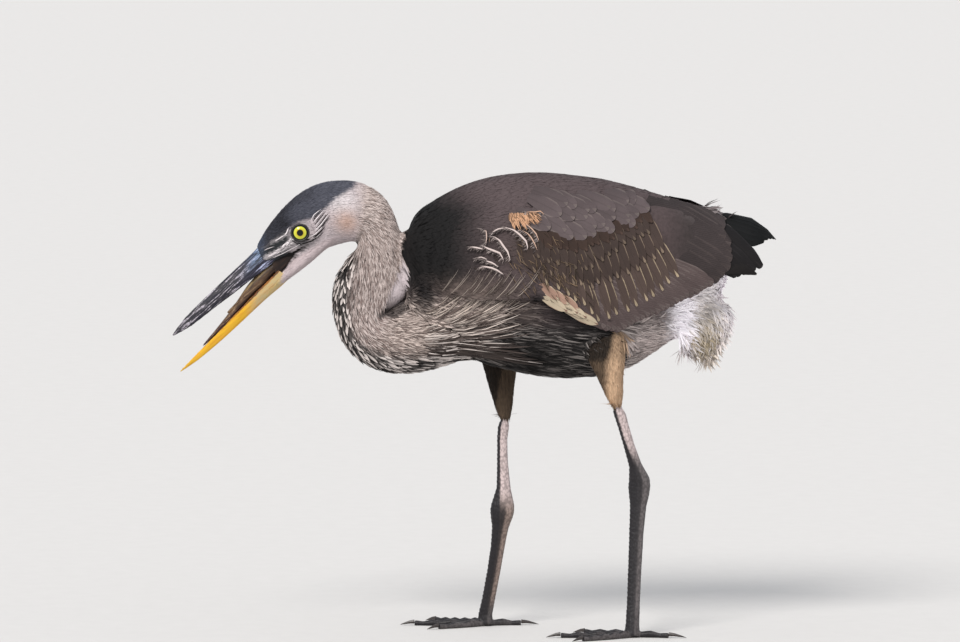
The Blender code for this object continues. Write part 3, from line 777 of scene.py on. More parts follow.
def coat(name, ground, chosen, vane, rng, spacing, length, half_width, tip_height, thickness=0.35,
         spread=0.3, root_shade=0.75, stray=0.12, camber=0.25, light_share=None, uneven=0.3,
         edge=None, tone=0.05, gain=COAT_GAIN, fleck=0.0):
    """One piece of the coat: feathers over the chosen faces. Sizes are in millimetres."""
    roots = ground.roots(chosen, spacing * MM, rng)
    turn = rng.normal(0, stray, len(roots["x"]))[:, None]
    roots["lie"] = unit(roots["lie"] + np.cross(roots["lie"], roots["normal"]) * turn)
    kept = rng.random(len(roots["x"])) < ramp(roots["x"], -256, -240) + 0.04
    roots = {key: values[kept] for key, values in roots.items()}
    count = len(roots["x"])
    vary = rng.normal(1, 0.1, count)
    length = sized(length, roots) * vary * MM
    half_width = sized(half_width, roots) * vary * MM
    front = 0.3 + 0.7 * ramp(roots["x"], -250, -218)
    tip_height = front * tip_height * rng.uniform(1 - uneven, 1.05, count) * MM
    lift, bend = follow(ground, roots, length, tip_height)
    tip = tip_colours(roots, rng, spread, light_share, tone) * gain
    dimmed = np.where(rng.random(count) < sized(fleck, roots), 0.4, 1.0)[:, None]
    root, tip = tip * root_shade * dimmed, tip * dimmed
    sizes = (length, half_width, lift, bend, rng.normal(0, 0.06, count))
    length, width, lift, bend, sweep = (size[:, None, None] for size in sizes)
    u, v, h = vane.u[:, None], vane.v[:, None], vane.h[:, None]
    across = np.cross(roots["lie"], roots["normal"])[:, None]
    aside = width * u + sweep * length * v * v
    rise = length * (lift * v - bend * v * v) - camber * width * u * u + thickness * MM * h / 2
    points = roots["point"][:, None] + roots["lie"][:, None] * length * v
    points = points + across * aside + roots["normal"][:, None] * rise
    return mesh_of(name, vane, points, roots, root, tip, None if edge is None else tip * edge)


HEAD_LENGTH = ("x", [-252, -232, -212, -185, -150, -128], [2.6, 3.6, 5.0, 7.5, 9.0, 10.0])
HEAD_WIDTH = ("x", [-252, -215, -150], [0.5, 0.6, 0.85])
CHIN_LENGTH = ("x", [-242, -225, -195, -160], [3.0, 4.0, 6.0, 8.0])
THIGH_LENGTH = ("z", [280, 300, 332], [16, 13, 6])
LEAF_LENGTH = ("place", [6, 12, 16], [14, 18, 26])


def belly_length(roots):
    """Shorter where the feathers lie steeply, and behind the thigh."""
    length = np.interp(roots["lie"][:, 2], [-0.5, -0.15], [12, 46])
    return length * (1 - 0.75 * ramp(roots["x"], 116, 146))


def neck_length(roots):
    """Longer down the neck, shorter next to the pad."""
    length = np.interp(roots["place"], [5, 8, 11, 14, 17], [10, 11, 12, 14, 17])
    return length * (1 - 0.65 * blob(roots["x"], roots["z"], -84, 440, 13, 20))


def neck_fleck(roots):
    """The share of dark feathers on the side of the neck, more of them towards its front."""
    above = roots["height"] - throat_edge(roots["place"])
    return 0.04 + 0.34 * (1 - ramp(above, 0.0, 0.4)) * ramp(roots["place"], 7, 9)


def grow_coat(ground, rng, finish):
    """All the feathers that grow from the skin, by the length of the body they cover."""
    fine = model_tuft("fine_feather", [(0.4, 1.0)])
    soft = model_tuft("soft_feather", [(0.3, 0.85), (0.72, 1.0)])
    plume = model_tuft("plume", [(0.35, 1.0), (0.75, 0.6)])
    leaf = model_tuft("leaf", [(0.3, 0.6), (0.65, 1.0), (0.88, 0.7)])
    x, y, z = ground.centre.T
    part = part_of(ground.face_owner)
    first = ground.faces[:, 0]
    place, height = ground.place[first], ground.height[first]
    eye_gap = np.hypot(x - EYE.x / MM, z - EYE.z / MM)
    head = (part == "head") & ((eye_gap > 9.4) | (abs(y) < 10))
    gape = inside(x, z, GAPE) & np.isin(part, ["head", "chin"])
    crown = above_crown(x, z) > 0
    neck, wing = part == "neck", part == "wing"
    throat = neck & (height < throat_edge(place)) & (place > 6)
    pad = on_pad(x, z, part, height)
    side_of_neck = neck & ~throat & ~pad
    trunk = np.isin(part, ["trunk", "rump"])
    tuft = trunk & (blob(x, z, 270, 494, 18, 12) > 0.4)
    high = (trunk & (z > 420) & ~tuft) | (wing & (z > 492))
    side = trunk & ~high & ~tuft
    flank = side & (x > 158) & (z < 372 + 60 * ramp(x, 188, 212))
    breast = side & (x < 20) & (z > 360)
    covered = inside(x, z, WING_COVER)
    lesser = np.char.endswith(ground.face_owner, "coverts") & ~high & ~covered & (x < 250)

    def add(name, slot, where, vane, *sizes, **looks):
        """The sizes are the spacing, the length, the half width and the height of the tip."""
        dress(coat(name, ground, where, vane, rng, *sizes, **looks), finish, slot)

    add("coat_crown", "feather_slate", head & crown, fine, 1.3, HEAD_LENGTH, HEAD_WIDTH, 1.9,
        thickness=0.25, spread=0.28, stray=0.06, root_shade=0.85)
    add("coat_face", "feather_white", head & ~crown & ~gape, fine, 1.25, HEAD_LENGTH, HEAD_WIDTH, 1.9,
        thickness=0.25, spread=0.3, stray=0.08, root_shade=0.9)
    add("coat_chin", "feather_white", (part == "chin") & ~gape, fine, 1.4, CHIN_LENGTH, 0.8, 1.1,
        thickness=0.15, spread=0.3, root_shade=1.0, tone=0.02, stray=0.06)
    add("coat_neck_upper", "feather_buff", side_of_neck & (place <= 10), fine, 1.9, neck_length, 0.8,
        2.8, thickness=0.25, spread=0.45, stray=0.12, root_shade=0.9, fleck=neck_fleck)
    add("coat_neck_lower", "feather_buff", side_of_neck & (place > 10), fine, 2.1, neck_length, 0.9,
        3.2, thickness=0.25, spread=0.5, stray=0.15, root_shade=0.9, fleck=neck_fleck)
    add("coat_throat", "feather_buff", throat, plume, 2.9, 15, 1.7, 3.0, spread=0.08, stray=0.1,
        light_share=0.1, root_shade=0.5, edge=0.4)
    add("throat_leaves", "feather_buff", throat, leaf, 5.8, LEAF_LENGTH, 1.6, 4.0, spread=0.12,
        stray=0.13, light_share=0.62, root_shade=0.2, edge=0.6, gain=1.0)
    add("coat_pad", "feather_brown", pad, fine, 1.6, 5, 1.2, 0.8, thickness=0.1, spread=0.2,
        stray=0.05, uneven=0.1, root_shade=1.0, tone=0.02)
    add("coat_back", "feather_brown", high & ~covered, soft, 2.7, 24, 2.0, 2.3, thickness=0.12,
        spread=0.2, stray=0.08, camber=0.06, uneven=0.06, root_shade=1.0, tone=0.03)
    add("coat_breast", "feather_brown", breast, soft, 2.4, 20, 1.0, 3.6, spread=0.55, stray=0.14,
        root_shade=0.9, gain=1.15)
    add("coat_belly", "feather_brown", side & ~flank & ~breast, plume, 3.1, belly_length, 1.6, 4.2,
        spread=0.12, stray=0.09, light_share=0.26, root_shade=0.5, gain=0.5)
    add("coat_flank", "feather_brown", flank, plume, 2.6, 20, 1.3, 6.0, spread=0.45, stray=0.4,
        gain=1.35)
    add("coat_lesser_coverts", "feather_brown", lesser, soft, 2.6, 17, 1.9, 2.3, thickness=0.12,
        spread=0.3, stray=0.12, camber=0.06, uneven=0.08, root_shade=0.95)
    add("coat_thighs", "feather_buff", part == "thigh", fine, 1.8, THIGH_LENGTH, 0.8, 2.1,
        thickness=0.2, spread=0.35, stray=0.05, root_shade=0.9)
    add("coat_vent", "feather_white", part == "vent", plume, 2.6, 26, 1.3, 8.0, spread=0.45,
        stray=0.34, root_shade=0.95, gain=1.15)
    add("coat_rump_tuft", "feather_brown", tuft, plume, 2.2, 15, 1.1, 4.0, spread=0.4, stray=0.2,
        gain=1.3)


# ---------------------------------------------------------------- long plumes and the ruffled patch


def outside_place(tree, x, side, z):
    """The place and normal of the outside of one side of the bird at a point of the side view."""
    start = Vector((x, math.copysign(150.0, side), z)) * MM
    hit = tree.ray_cast(start, Vector((0, -math.copysign(1.0, side), 0)))
    return hit if hit[0] else tree.find_nearest(start)


def places_of(hits):
    """The places and the normals of rows of hits."""
    return (np.array([[hit[k] for hit in row] for row in hits]) for k in (0, 1))


def trail(tree, starts, first_ways, last_ways, lengths, steps=8):
    """Routes over the outside, each turning from its first way to its last, with their normals."""
    hits = [[outside_place(tree, *start) for start in starts]]
    for step in range(steps):
        here = np.array([hit[0] for hit in hits[-1]])
        way = unit(first_ways + (last_ways - first_ways) * (step + 0.5) / steps)
        ahead = here + way * (lengths[:, None] * MM / steps)
        hits.append([tree.find_nearest(Vector(point)) for point in ahead])
    routes, normals = places_of(list(zip(*hits)))
    return routes, unit(normals)


def drawn(tree, routes, side, steps=9):
    """Lines drawn in the side view, brought onto the outside of one side of the bird."""
    lines = [along_line(route, np.linspace(0, 1, steps)) for route in routes]
    return places_of([[outside_place(tree, x, side, z) for x, z in line] for line in lines])


def sampled(values, shares):
    """Rows of values along each route, at the same shares of every route."""
    spot = np.clip(shares, 0, 1) * (values.shape[1] - 1)
    low = np.minimum(spot.astype(int), values.shape[1] - 2)
    part = (spot - low)[None, :, None]
    return values[:, low] * (1 - part) + values[:, low + 1] * part


def lay_along(name, vane, found, half_width, thickness, rise, ground, colours, camber=0.2, curl=0.0):
    """Lays a copy of the vane along each route, buried at its root and standing out by rise."""
    routes, normals = found
    up = unit(sampled(normals, vane.v))
    ahead = sampled(routes, np.minimum(vane.v + 0.05, 1)) - sampled(routes, vane.v - 0.05)
    across = unit(np.cross(ahead, up))
    u, v, h = vane.u[:, None], vane.v[:, None], vane.h[:, None]
    half_width, rise = (size[:, None, None] * MM for size in (half_width, rise))
    shown = np.clip(v / 0.3, 0, 1)
    high = rise * shown - 3 * MM * (1 - shown)
    high = high + curl * MM * v * v + thickness * MM * h / 2 - camber * half_width * u * u
    points = sampled(routes, vane.v) + across * half_width * u + up * high
    return mesh_of(name, vane, points, ground.under(routes[:, 1]), *colours)


def breast_plumes(ground, tree, rng):
    """Long narrow plumes that fan from the foot of the neck over the wing and the belly."""
    vane = model_tuft("long_plume", [(0.12, 0.8), (0.45, 1.0), (0.8, 0.6)])
    lower, upper = 700, 300
    count = lower + upper
    share = np.concatenate([rng.random(lower), rng.uniform(1.0, 1.5, upper)])
    high, near = share > 1, np.minimum(share, 1)
    side = np.where(rng.random(count) < 0.5, LEFT, RIGHT)
    x = np.where(high, -40, -62) + np.where(high, 92, 70) * rng.random(count)
    z = 322 + 52 * share + rng.normal(0, 3, count)
    climb = -0.14 + 1.05 * share**1.2 + rng.normal(0, 0.12, count)
    first = unit(np.stack([np.ones(count), 0 * x, climb * 0.6], axis=1))
    last = unit(np.stack([np.ones(count), 0 * x, climb * 1.2 + 0.05], axis=1))
    lengths = rng.uniform(30, 84, count) * np.clip(1 - 0.3 * share, 0.55, 1)
    found = trail(tree, np.stack([x, side * 60.0, z], axis=1), first, last, lengths)
    rear = ramp(x, -50, -24) * (1 - ramp(share, 0.25, 0.6))
    pale = rng.random(count) < (0.25 + 0.3 * ramp(share, 0.1, 0.4)) * (1 - 0.85 * rear)
    bright = rng.uniform(0.5, 1.1, count)[:, None] * np.where(high, 0.65, 1.0)[:, None]
    light = mix(STREAK_LIGHT, PLUME_BUFF, near)
    deep = BREAST_DARK * mix(np.full(3, 0.25), np.full(3, 1.0), near)
    colour = np.where(pale[:, None], light, deep) * bright
    half = rng.uniform(0.6, 1.2, count) * np.clip(1.1 - 0.5 * share, 0.4, 1.1)
    return lay_along("breast_plumes", vane, found, half, 0.4, rng.uniform(0.2, 1.4, count), ground,
                     (colour * 0.7, colour, colour * 0.7, colour * 1.1))


# Lines behind, below and before the eye in the side view, with their half widths and how pale
# they are: 0 is black and 1 is white.
FACE_LINES = [
    (0.5, 0.0, [(-188, 472), (-182, 483), (-174, 489)]),
    (0.5, 0.0, [(-187, 468), (-177, 481), (-170, 489)]),
    (0.6, 0.0, [(-185, 464.5), (-174.5, 477), (-167, 487)]),
    (0.7, 0.0, [(-187, 459), (-179, 465.5), (-171, 476.5), (-165, 484)]),
    (1.0, 0.0, [(-196, 452.5), (-186, 456.5), (-177, 464), (-171, 472)]),
    (0.9, 0.0, [(-206, 446), (-195, 450.5), (-186, 454), (-178, 459.5), (-172, 466)]),
    (0.6, 0.0, [(-212, 455), (-204, 450.5), (-194, 450)]),
    (0.5, 0.9, [(-190, 474), (-184, 484.5), (-176, 490.5)]),
    (0.5, 1.0, [(-188.5, 470), (-179, 482.5), (-172, 490)]),
    (0.4, 0.9, [(-186.5, 466), (-176, 479), (-168.5, 488.5)]),
    (0.6, 1.0, [(-188, 461), (-180.5, 467), (-172.5, 478), (-166.5, 485.5)]),
    (0.5, 1.0, [(-195, 454.5), (-187, 458), (-178.5, 465.5), (-172.5, 473.5)]),
    (0.4, 0.7, [(-190, 453.5), (-184, 456), (-176, 462.5)]),
    (0.35, 0.6, [(-205, 475), (-196, 475.5), (-189.5, 470.5), (-187.5, 462)]),
    (0.45, 0.75, [(-243, 427.5), (-230, 434), (-217, 440.5), (-204, 447.5), (-197, 452)]),
    (0.3, 0.5, [(-236, 436), (-222, 441.5), (-212, 447.5)]),
    (0.6, 0.9, [(-233, 451.5), (-226, 455), (-218, 460.5)]),
    (0.7, 0.95, [(-221, 458), (-216, 462.5), (-213.5, 469)]),
    (0.5, 0.6, [(-246, 440), (-238, 444), (-230, 447)]),
]
LORAL_STREAKS = 22  # pale streaks in the patch before the eye


def face_streaks(ground, tree, rng):
    """Thin black and white streaks round each eye, and the white patch before it."""
    vane = model_tuft("face_streak", [(0.15, 0.8), (0.5, 1.0), (0.8, 0.7)])
    rows = list(FACE_LINES)
    for _ in range(LORAL_STREAKS):
        at = rng.uniform(0, 0.8)
        line = along_line(LORAL_PATCH, np.array([at, at + 0.1, at + 0.22]))
        line = line + rng.normal(0, 1.25, 2) * np.array((0.55, 0.83))
        rows.append((rng.uniform(0.4, 0.8), rng.uniform(0.6, 1.1), line))
    half, pale = np.array([row[:2] for row in rows]).T
    colour = mix(INK * 0.6, WHITE * 1.15, pale)
    made = []
    for side, word in SIDES:
        found = drawn(tree, [row[2] for row in rows], side)
        made.append(lay_along(f"face_{word}", vane, found, half, 0.25, 0.7 - 0.2 * pale, ground,
                              (colour * 0.8, colour)))
    return joined("face_streaks", made)


# Loosened feathers on the left wing: the half width of each pale rim, how far it stands out, how
# orange it is, and its line in the side view.
RUFFLES = [
    (1.5, 4.0, 0.0, [(33, 475), (44, 470.5), (54, 462.5), (61, 455.5), (59, 448)]),
    (1.5, 3.6, 0.0, [(19.5, 465), (27.5, 460), (32.5, 453), (38, 446), (40.5, 437)]),
    (1.1, 3.0, 0.0, [(35, 473), (26, 471), (20, 467)]),
    (1.6, 3.0, 0.0, [(6.5, 454), (17, 449), (29, 445), (33, 437)]),
    (1.2, 2.0, 0.0, [(-6, 452), (3.5, 450.5), (10, 449)]),
    (0.9, 2.0, 0.0, [(1, 439.5), (8, 440), (14, 438)]),
    (1.2, 2.4, 0.0, [(10, 437), (19, 434), (27, 430)]),
    (1.5, 2.6, 0.0, [(4, 428), (14, 430), (24, 427), (33, 421)]),
    (0.8, 2.0, 0.3, [(8, 472), (13, 470), (14, 462), (13, 455)]),
    (0.9, 2.4, 0.6, [(52, 480), (60, 476), (69, 468), (73, 458)]),
    (0.9, 2.4, 0.6, [(53, 472), (62, 465), (68, 456), (71, 448)]),
    (0.9, 2.0, 0.9, [(56, 492), (66, 489.5), (76, 491), (78, 486)]),
]
RIM_BARBS = 40  # barbs under each rim
# The two ends of the fan's root line, and its feathers.
ORANGE_FAN = ((39, 491), (67, 492), 170)


def rim_barbs(routes, rng):
    """Short barbs that hang down and forward from each rim."""
    barbs = []
    for route in routes:
        for x, z in along_line(route, np.linspace(0.02, 0.98, RIM_BARBS)):
            reach = rng.uniform(2.5, 8.0)
            turn = 0.6 + rng.normal(0, 0.3)
            dx, dz = -math.cos(turn) * reach, -math.sin(turn) * reach
            barbs.append([(x, z), (x + dx * 0.5, z + dz * 0.4), (x + dx, z + dz)])
    return barbs


def orange_barbs(rng):
    """The soft orange fan over the top of the ruffled patch."""
    (ax, az), (bx, bz), count = ORANGE_FAN
    fan = []
    for part in rng.random(count):
        x = ax + (bx - ax) * part + rng.normal(0, 0.8)
        z = az + (bz - az) * part - 6 * rng.random() ** 2
        reach = (19 - 9 * part) * rng.uniform(0.35, 1.05)
        out = 0.3 + 0.7 * part + rng.normal(0, 0.16)
        fan.append([(x, z), (x + reach * 0.35 * out, z - reach * 0.3), (x + reach * out, z - reach)])
    return fan


def ruffled_patch(ground, tree, rng):
    """Dark loosened feathers with pale rims below the scapulars, under an orange fan."""
    rim = model_tuft("ruffled_rim", [(0.12, 0.35), (0.3, 0.8), (0.5, 1.0), (0.72, 0.85), (0.9, 0.4)])
    barb = model_tuft("ruffled_barb", [(0.2, 1.0), (0.7, 0.8)])
    routes = [route for *_, route in RUFFLES]
    half, rise, orange = np.array([row[:3] for row in RUFFLES]).T
    pale = mix(RUFF_WHITE, RUFF_ORANGE, orange)
    rims = lay_along("ruffled_rims", rim, drawn(tree, routes, LEFT), half * 0.8, 0.4, rise, ground,
                     (pale * 0.3, pale * 0.9, pale * 0.6, pale * 1.1), 0.3, 1.5)
    hanging = rim_barbs(routes, rng)
    count = len(hanging)
    shade = mix(RUFF_GREY * 0.5, RUFF_WHITE, np.clip(rng.normal(0.42, 0.3, count), 0, 1))
    hairs = lay_along("ruffled_hairs", barb, drawn(tree, hanging, LEFT, 4),
                      rng.uniform(0.25, 0.6, count), 0.3, rng.uniform(0.3, 1.6, count), ground,
                      (shade, shade * 0.35))
    fan = orange_barbs(rng)
    count = len(fan)
    dim = np.where(rng.random(count) < 0.28, 0.3, rng.uniform(0.75, 1.15, count))[:, None]
    warm = RUFF_ORANGE * dim
    fans = lay_along("orange_fan", barb, drawn(tree, fan, LEFT, 5), rng.uniform(0.35, 0.85, count),
                     0.4, rng.uniform(0.8, 2.8, count), ground, (warm * 0.6, warm))
    return joined("ruffled_patch", [rims, hairs, fans])


def loose_barbs(ground, tree, rng):
    """Thin tan barbs that criss-cross in front of the wing coverts."""
    vane = model_tuft("loose_barb", [(0.2, 1.0), (0.7, 0.8)])
    count = 190
    side = np.where(rng.random(count) < 0.6, LEFT, RIGHT)
    x = rng.normal(78, 25, count)
    z = rng.normal(428, 17, count) - 0.3 * (x - 78)
    turn = np.radians(rng.normal(-56, 16, count))
    ways = np.stack([np.cos(turn), 0 * x, np.sin(turn)], axis=1)
    bent = np.stack([rng.normal(0, 0.5, count), 0 * x, rng.normal(0, 0.4, count)], axis=1)
    starts = np.stack([x, side * 100.0, z], axis=1)
    found = trail(tree, starts, ways, unit(ways + bent), rng.uniform(6, 17, count))
    colour = BARB_TAN[None] * (rng.uniform(0.3, 0.95, count) ** 2)[:, None]
    return lay_along("loose_barbs", vane, found, rng.uniform(0.25, 0.5, count), 0.3,
                     rng.uniform(0.3, 1.6, count), ground, (colour * 0.6, colour))


# ---------------------------------------------------------------- wings and tail


def shell_place(x, z):
    """Where the feathered outside of the wings lies in the side view: its y, its z, its share of
    the way from middle to top."""
    marks, *lines = zip(*SHELL)
    top, bottom, half = (np.interp(x, marks, line) for line in lines)
    middle, reach = (top + bottom) / 2, (top - bottom) / 2
    c = (z - middle) / reach
    held = np.clip(c, -0.97, 0.97)
    y = half * np.sqrt(1 - held * held) * (1 + SHELL_FULLNESS * held)
    return y, middle + reach * np.where(c > 0.97, held, c), c


# The part of each side that the rows of wing feathers cover.
WING_COVER = [
    (92, 400), (84, 436), (76, 470), (84, 490), (120, 503), (205, 503), (236, 496), (268, 478),
    (300, 440), (290, 404), (150, 352), (120, 372),
]
# Rows of wing feathers from the lowest layer up: name, count, length, half width, millimetres
# under the outside, colour, colour of the edge, and a line of tips with the slope of the
# feathers there (x, z, direction x, direction z).
WING_ROWS = [
    ("primary", 6, 120, 9.0, 2.8, PRIMARY, PRIMARY * 1.4, [(296, 416, 0.82, -0.57),
        (320, 419, 0.78, -0.62), (328, 425, 0.72, -0.69)]),
    ("secondary", 24, 112, 12.0, 2.2, QUILL, QUILL_EDGE, [(140, 363, 0.70, -0.71),
        (152, 357, 0.72, -0.69), (167, 354, 0.76, -0.65), (186, 366, 0.82, -0.57),
        (209, 375, 0.86, -0.51), (230, 386, 0.89, -0.46), (255, 398, 0.91, -0.41),
        (275, 409, 0.92, -0.39)]),
    ("tertial", 8, 108, 14.0, 1.9, TERTIAL, TERTIAL_EDGE, [(276, 409, 0.90, -0.43),
        (288, 418, 0.88, -0.47), (294, 435, 0.86, -0.51), (291, 454, 0.86, -0.51),
        (280, 470, 0.87, -0.49)]),
    ("edge_covert", 4, 38, 6.4, 1.6, EDGE_CREAM, EDGE_PINK * 0.7, [(101, 384, 0.86, -0.5),
        (146, 361, 0.9, -0.44)]),
    ("edge_covert_upper", 3, 32, 6.0, 1.2, EDGE_PINK, EDGE_CREAM, [(90, 394, 0.8, -0.6),
        (124, 379, 0.84, -0.54)]),
    ("greater_covert", 16, 74, 7.8, 1.7, COVERT, CREAM, [(80, 410, 0.44, -0.90),
        (119, 389, 0.38, -0.92), (144, 366, 0.36, -0.93), (169, 375, 0.38, -0.92),
        (201, 391, 0.42, -0.90), (217, 402, 0.48, -0.87), (236, 421, 0.56, -0.83)]),
    ("median_covert", 15, 62, 7.8, 1.1, MEDIAN, COVERT_EDGE, [(62, 424, 0.5, -0.86),
        (94, 419, 0.44, -0.9), (130, 404, 0.4, -0.92), (148, 410, 0.4, -0.92), (171, 418, 0.42, -0.9),
        (194, 431, 0.46, -0.88), (220, 446, 0.54, -0.84)]),
    ("upper_median_covert", 14, 50, 7.6, 0.6, MEDIAN * 0.95, COVERT_EDGE * 0.6, [
        (70, 440, 0.52, -0.85), (117, 426, 0.46, -0.88), (136, 428, 0.46, -0.88),
        (155, 441, 0.5, -0.86), (178, 456, 0.54, -0.84), (205, 468, 0.62, -0.78)]),
    ("lesser_covert", 14, 38, 7.0, 0.2, BAND * 1.15, BAND * 1.8, [(84, 452, 0.6, -0.8),
        (118, 446, 0.6, -0.8), (150, 456, 0.64, -0.77), (180, 470, 0.7, -0.71),
        (206, 482, 0.78, -0.62)]),
    ("low_scapular", 9, 46, 9.4, -0.2, SCAPULAR, SCAPULAR_EDGE, [(84, 474, 0.88, -0.47),
        (130, 460, 0.88, -0.47), (163, 473, 0.9, -0.43), (190, 483, 0.93, -0.36)]),
    ("mid_scapular", 9, 44, 9.4, -0.6, SCAPULAR, SCAPULAR_EDGE, [(90, 487, 0.9, -0.43),
        (140, 476, 0.92, -0.39), (182, 488, 0.93, -0.36), (208, 494, 0.95, -0.3)]),
    ("high_scapular", 8, 42, 9.0, -0.9, SCAPULAR * 0.95, SCAPULAR_EDGE * 0.95, [
        (100, 500, 0.94, -0.34), (150, 492, 0.94, -0.34), (190, 499, 0.95, -0.3)]),
]
LONG_ROWS = ("primary", "secondary", "tertial")


def trimmed(name, vane, points, ground, root, tip, trim):
    """Vaned feathers, each with the colour of its trim."""
    roots = ground.under(points[:, np.abs(vane.u) < 0.3][:, 0])
    made = mesh_of(name, vane, points, roots, root, tip)
    paint_vertices(made, "Trim", np.repeat(trim, points.shape[1], axis=0))
    return made


def wing_feathers(word, vane, row, side, ground, rng):
    """One row of feathers of a folded wing, laid on the outside of the wing."""
    name, count, length, half, under, colour, edge, line = row
    ends = along_line(line, (np.arange(count) + 0.5) / count)
    way = unit(ends[:, 2:] + rng.normal(0, 0.03, (count, 2)))
    length = length * rng.normal(1, 0.04, count)
    loose = 2.6 if "scapular" in name else 0.5 if name == "secondary" else 1.2
    way = unit(way + rng.normal(0, 0.012, (count, 2)) * loose)
    tip = ends[:, :2] + rng.normal(0, loose, (count, 2))
    for _ in range(24):
        root = tip - way * length[:, None]
        length = np.where(shell_place(root[:, 0], root[:, 1])[2] > 0.88, length * 0.94, length)
    u, v, h = vane.u[None], vane.v[None], vane.h[None]
    sag = 0.05 * length[:, None] * (v - v * v)
    back = (1 - v) * length[:, None]
    x = tip[:, :1] - way[:, :1] * back - way[:, 1:] * (u * half + sag)
    z = tip[:, 1:] - way[:, 1:] * back + way[:, :1] * (u * half + sag)
    depth = under + 3.6 * (1 - v) ** 1.5 - 0.7 * u + 0.5 * u * u
    y, z, _ = shell_place(x, z)
    points = np.stack([x, side * (y - depth + 0.35 * h), z], axis=2) * MM
    colour = colour * rng.normal(1, 0.06, count)[:, None]
    trim = edge * rng.normal(1, 0.08, count)[:, None]
    return trimmed(f"{name}_{word}", vane, points, ground, colour * 0.75, colour, trim)


# The tail's ridge: x, z, half width, and how far its edges hang.
TAIL = [(250, 484, 14, 8), (290, 485, 26, 24), (318, 479, 31, 30), (336, 466, 26, 18), (348, 452, 17, 6)]
TAIL_FEATHERS = 12
TAIL_START, TAIL_END = 252, 346  # the x of the feathers' roots and of the middle pair's tips


def tail_feathers(vane, ground, rng):
    """Twelve feathers that make the roof of the tail, the middle pair on top."""
    share = np.linspace(-1, 1, TAIL_FEATHERS)[:, None]
    u, v, h = vane.u[None], vane.v[None], vane.h[None]
    x = TAIL_START + (TAIL_END - 14 * share**2 - TAIL_START) * v
    marks, *lines = zip(*TAIL)
    ridge, half, droop = (np.interp(x, marks, line) for line in lines)
    across = share * 0.72 + u * 0.30
    z = ridge - droop * across**2 - 0.6 - 2.4 * np.abs(share) + 0.35 * h
    points = np.stack([x, half * across, z], axis=2) * MM
    colour = TAIL_SLATE * rng.normal(1, 0.07, TAIL_FEATHERS)[:, None]
    return trimmed("tail_feathers", vane, points, ground, colour, colour, colour * 1.25)


def fold_wings(ground, rng, finish):
    """Both folded wings and the tail."""
    covert = model_vane("covert_feather", 8, [(0, 0.5), (0.5, 1), (0.8, 0.86), (0.93, 0.5), (1, 0.1)],
                        0.1)
    scapular = model_vane("scapular_feather", 6, [(0, 0.5), (0.5, 1), (0.85, 0.95), (1, 0.5)], 0.2)
    quill = model_vane("quill_feather", 10, [(0, 0.5), (0.4, 1), (0.85, 0.95), (1, 0.4)], 0.1)
    for side, word in SIDES:
        rows = {"quills": [], "coverts": []}
        for row in WING_ROWS:
            is_long = row[0] in LONG_ROWS
            vane = quill if is_long else scapular if "scapular" in row[0] else covert
            piece = wing_feathers(word, vane, row, side, ground, rng)
            rows["quills" if is_long else "coverts"].append(piece)
        for name, pieces in rows.items():
            dress(joined(f"{name}_{word}", pieces), finish, "feather_brown")
    dress(tail_feathers(quill, ground, rng), finish, "feather_slate", "tail")


# ---------------------------------------------------------------- bill, eyes and legs

# The skin between the jaws at the corner of the mouth, dark with painted shade, in the side view.
GAPE_WEB = [
    (-237, 433.5), (-222, 441), (-206, 446), (-198, 447), (-212, 430), (-223, 416.5), (-229, 410),
    (-231, 418),
]
# The brown floor of the mouth along the lower bill: x, z, radius.
MOUTH_FLOOR = [
    (-217, 433, 5.4), (-226.5, 426.5, 7.4), (-238, 415.5, 8.0), (-247.5, 406.5, 7.5), (-257, 396.6, 6.7),
    (-268.2, 381.8, 5.2), (-280.4, 366, 4.0), (-298, 346, 2.6), (-313.5, 330.5, 0.8),
]
EYEBALL = 12.0  # the radius of an eyeball
LID = (18.6, 9.3, 1.15)  # how far a lid stands out from the middle, its radius and its rim's


def make_gape_web():
    """A web of skin from jaw to jaw, hollowed in front."""
    web = primitive(bpy.ops.mesh.primitive_circle_add, "gape_web", vertices=len(GAPE_WEB), radius=1,
                    fill_type="NGON")
    set_coordinates(web, np.array([(x, -8.0, z) for x, z in GAPE_WEB]) * MM)
    thicken = {"TRANSFORM_OT_translate": {"value": (0, 16.0 * MM, 0)}}
    edit((bpy.ops.mesh.extrude_region_move, thicken), outward())
    wrap(web, 0.9, 4)
    points = coordinates(web)
    hollow = np.clip(1 - np.abs(points[:, 1]) / (8 * MM), 0, 1) ** 0.7
    hollow = hollow * (1 - ramp(points[:, 0] / MM, -240, -222))
    set_coordinates(web, points + np.array((7.0, 0, 3.0)) * MM * hollow[:, None])
    smooth(web)
    return web


def make_mouth_floor():
    """The soft floor of the mouth, a tapering ridge between the rims of the lower bill."""
    ridge = primitive(bpy.ops.mesh.primitive_cylinder_add, "mouth_floor", vertices=14, radius=1,
                      depth=1, rotation=(0, math.pi / 2, 0))
    settle(ridge)
    edit(*[cut((step / 12 - 0.5, 0, 0), (1, 0, 0)) for step in range(1, 12)])
    points = coordinates(ridge)
    share = (0.5 - points[:, 0]) * (len(MOUTH_FLOOR) - 1)
    marks = np.arange(len(MOUTH_FLOOR))
    x, z, radius = (np.interp(share, marks, line) for line in zip(*MOUTH_FLOOR))
    high = points[:, 2] * radius
    wide = points[:, 1] * np.minimum(radius * 1.15, 8.4)
    set_coordinates(ridge, np.stack([x - 0.75 * high, wide, z + 0.66 * high], axis=1) * MM)
    edit(outward())
    apply_modifier(ridge, "SUBSURF", levels=1, render_levels=1)
    smooth(ridge)
    return ridge


def scaled(obj, scale):
    """A primitive scaled, settled and smoothed."""
    obj.scale = scale
    settle(obj)
    smooth(obj)
    return obj


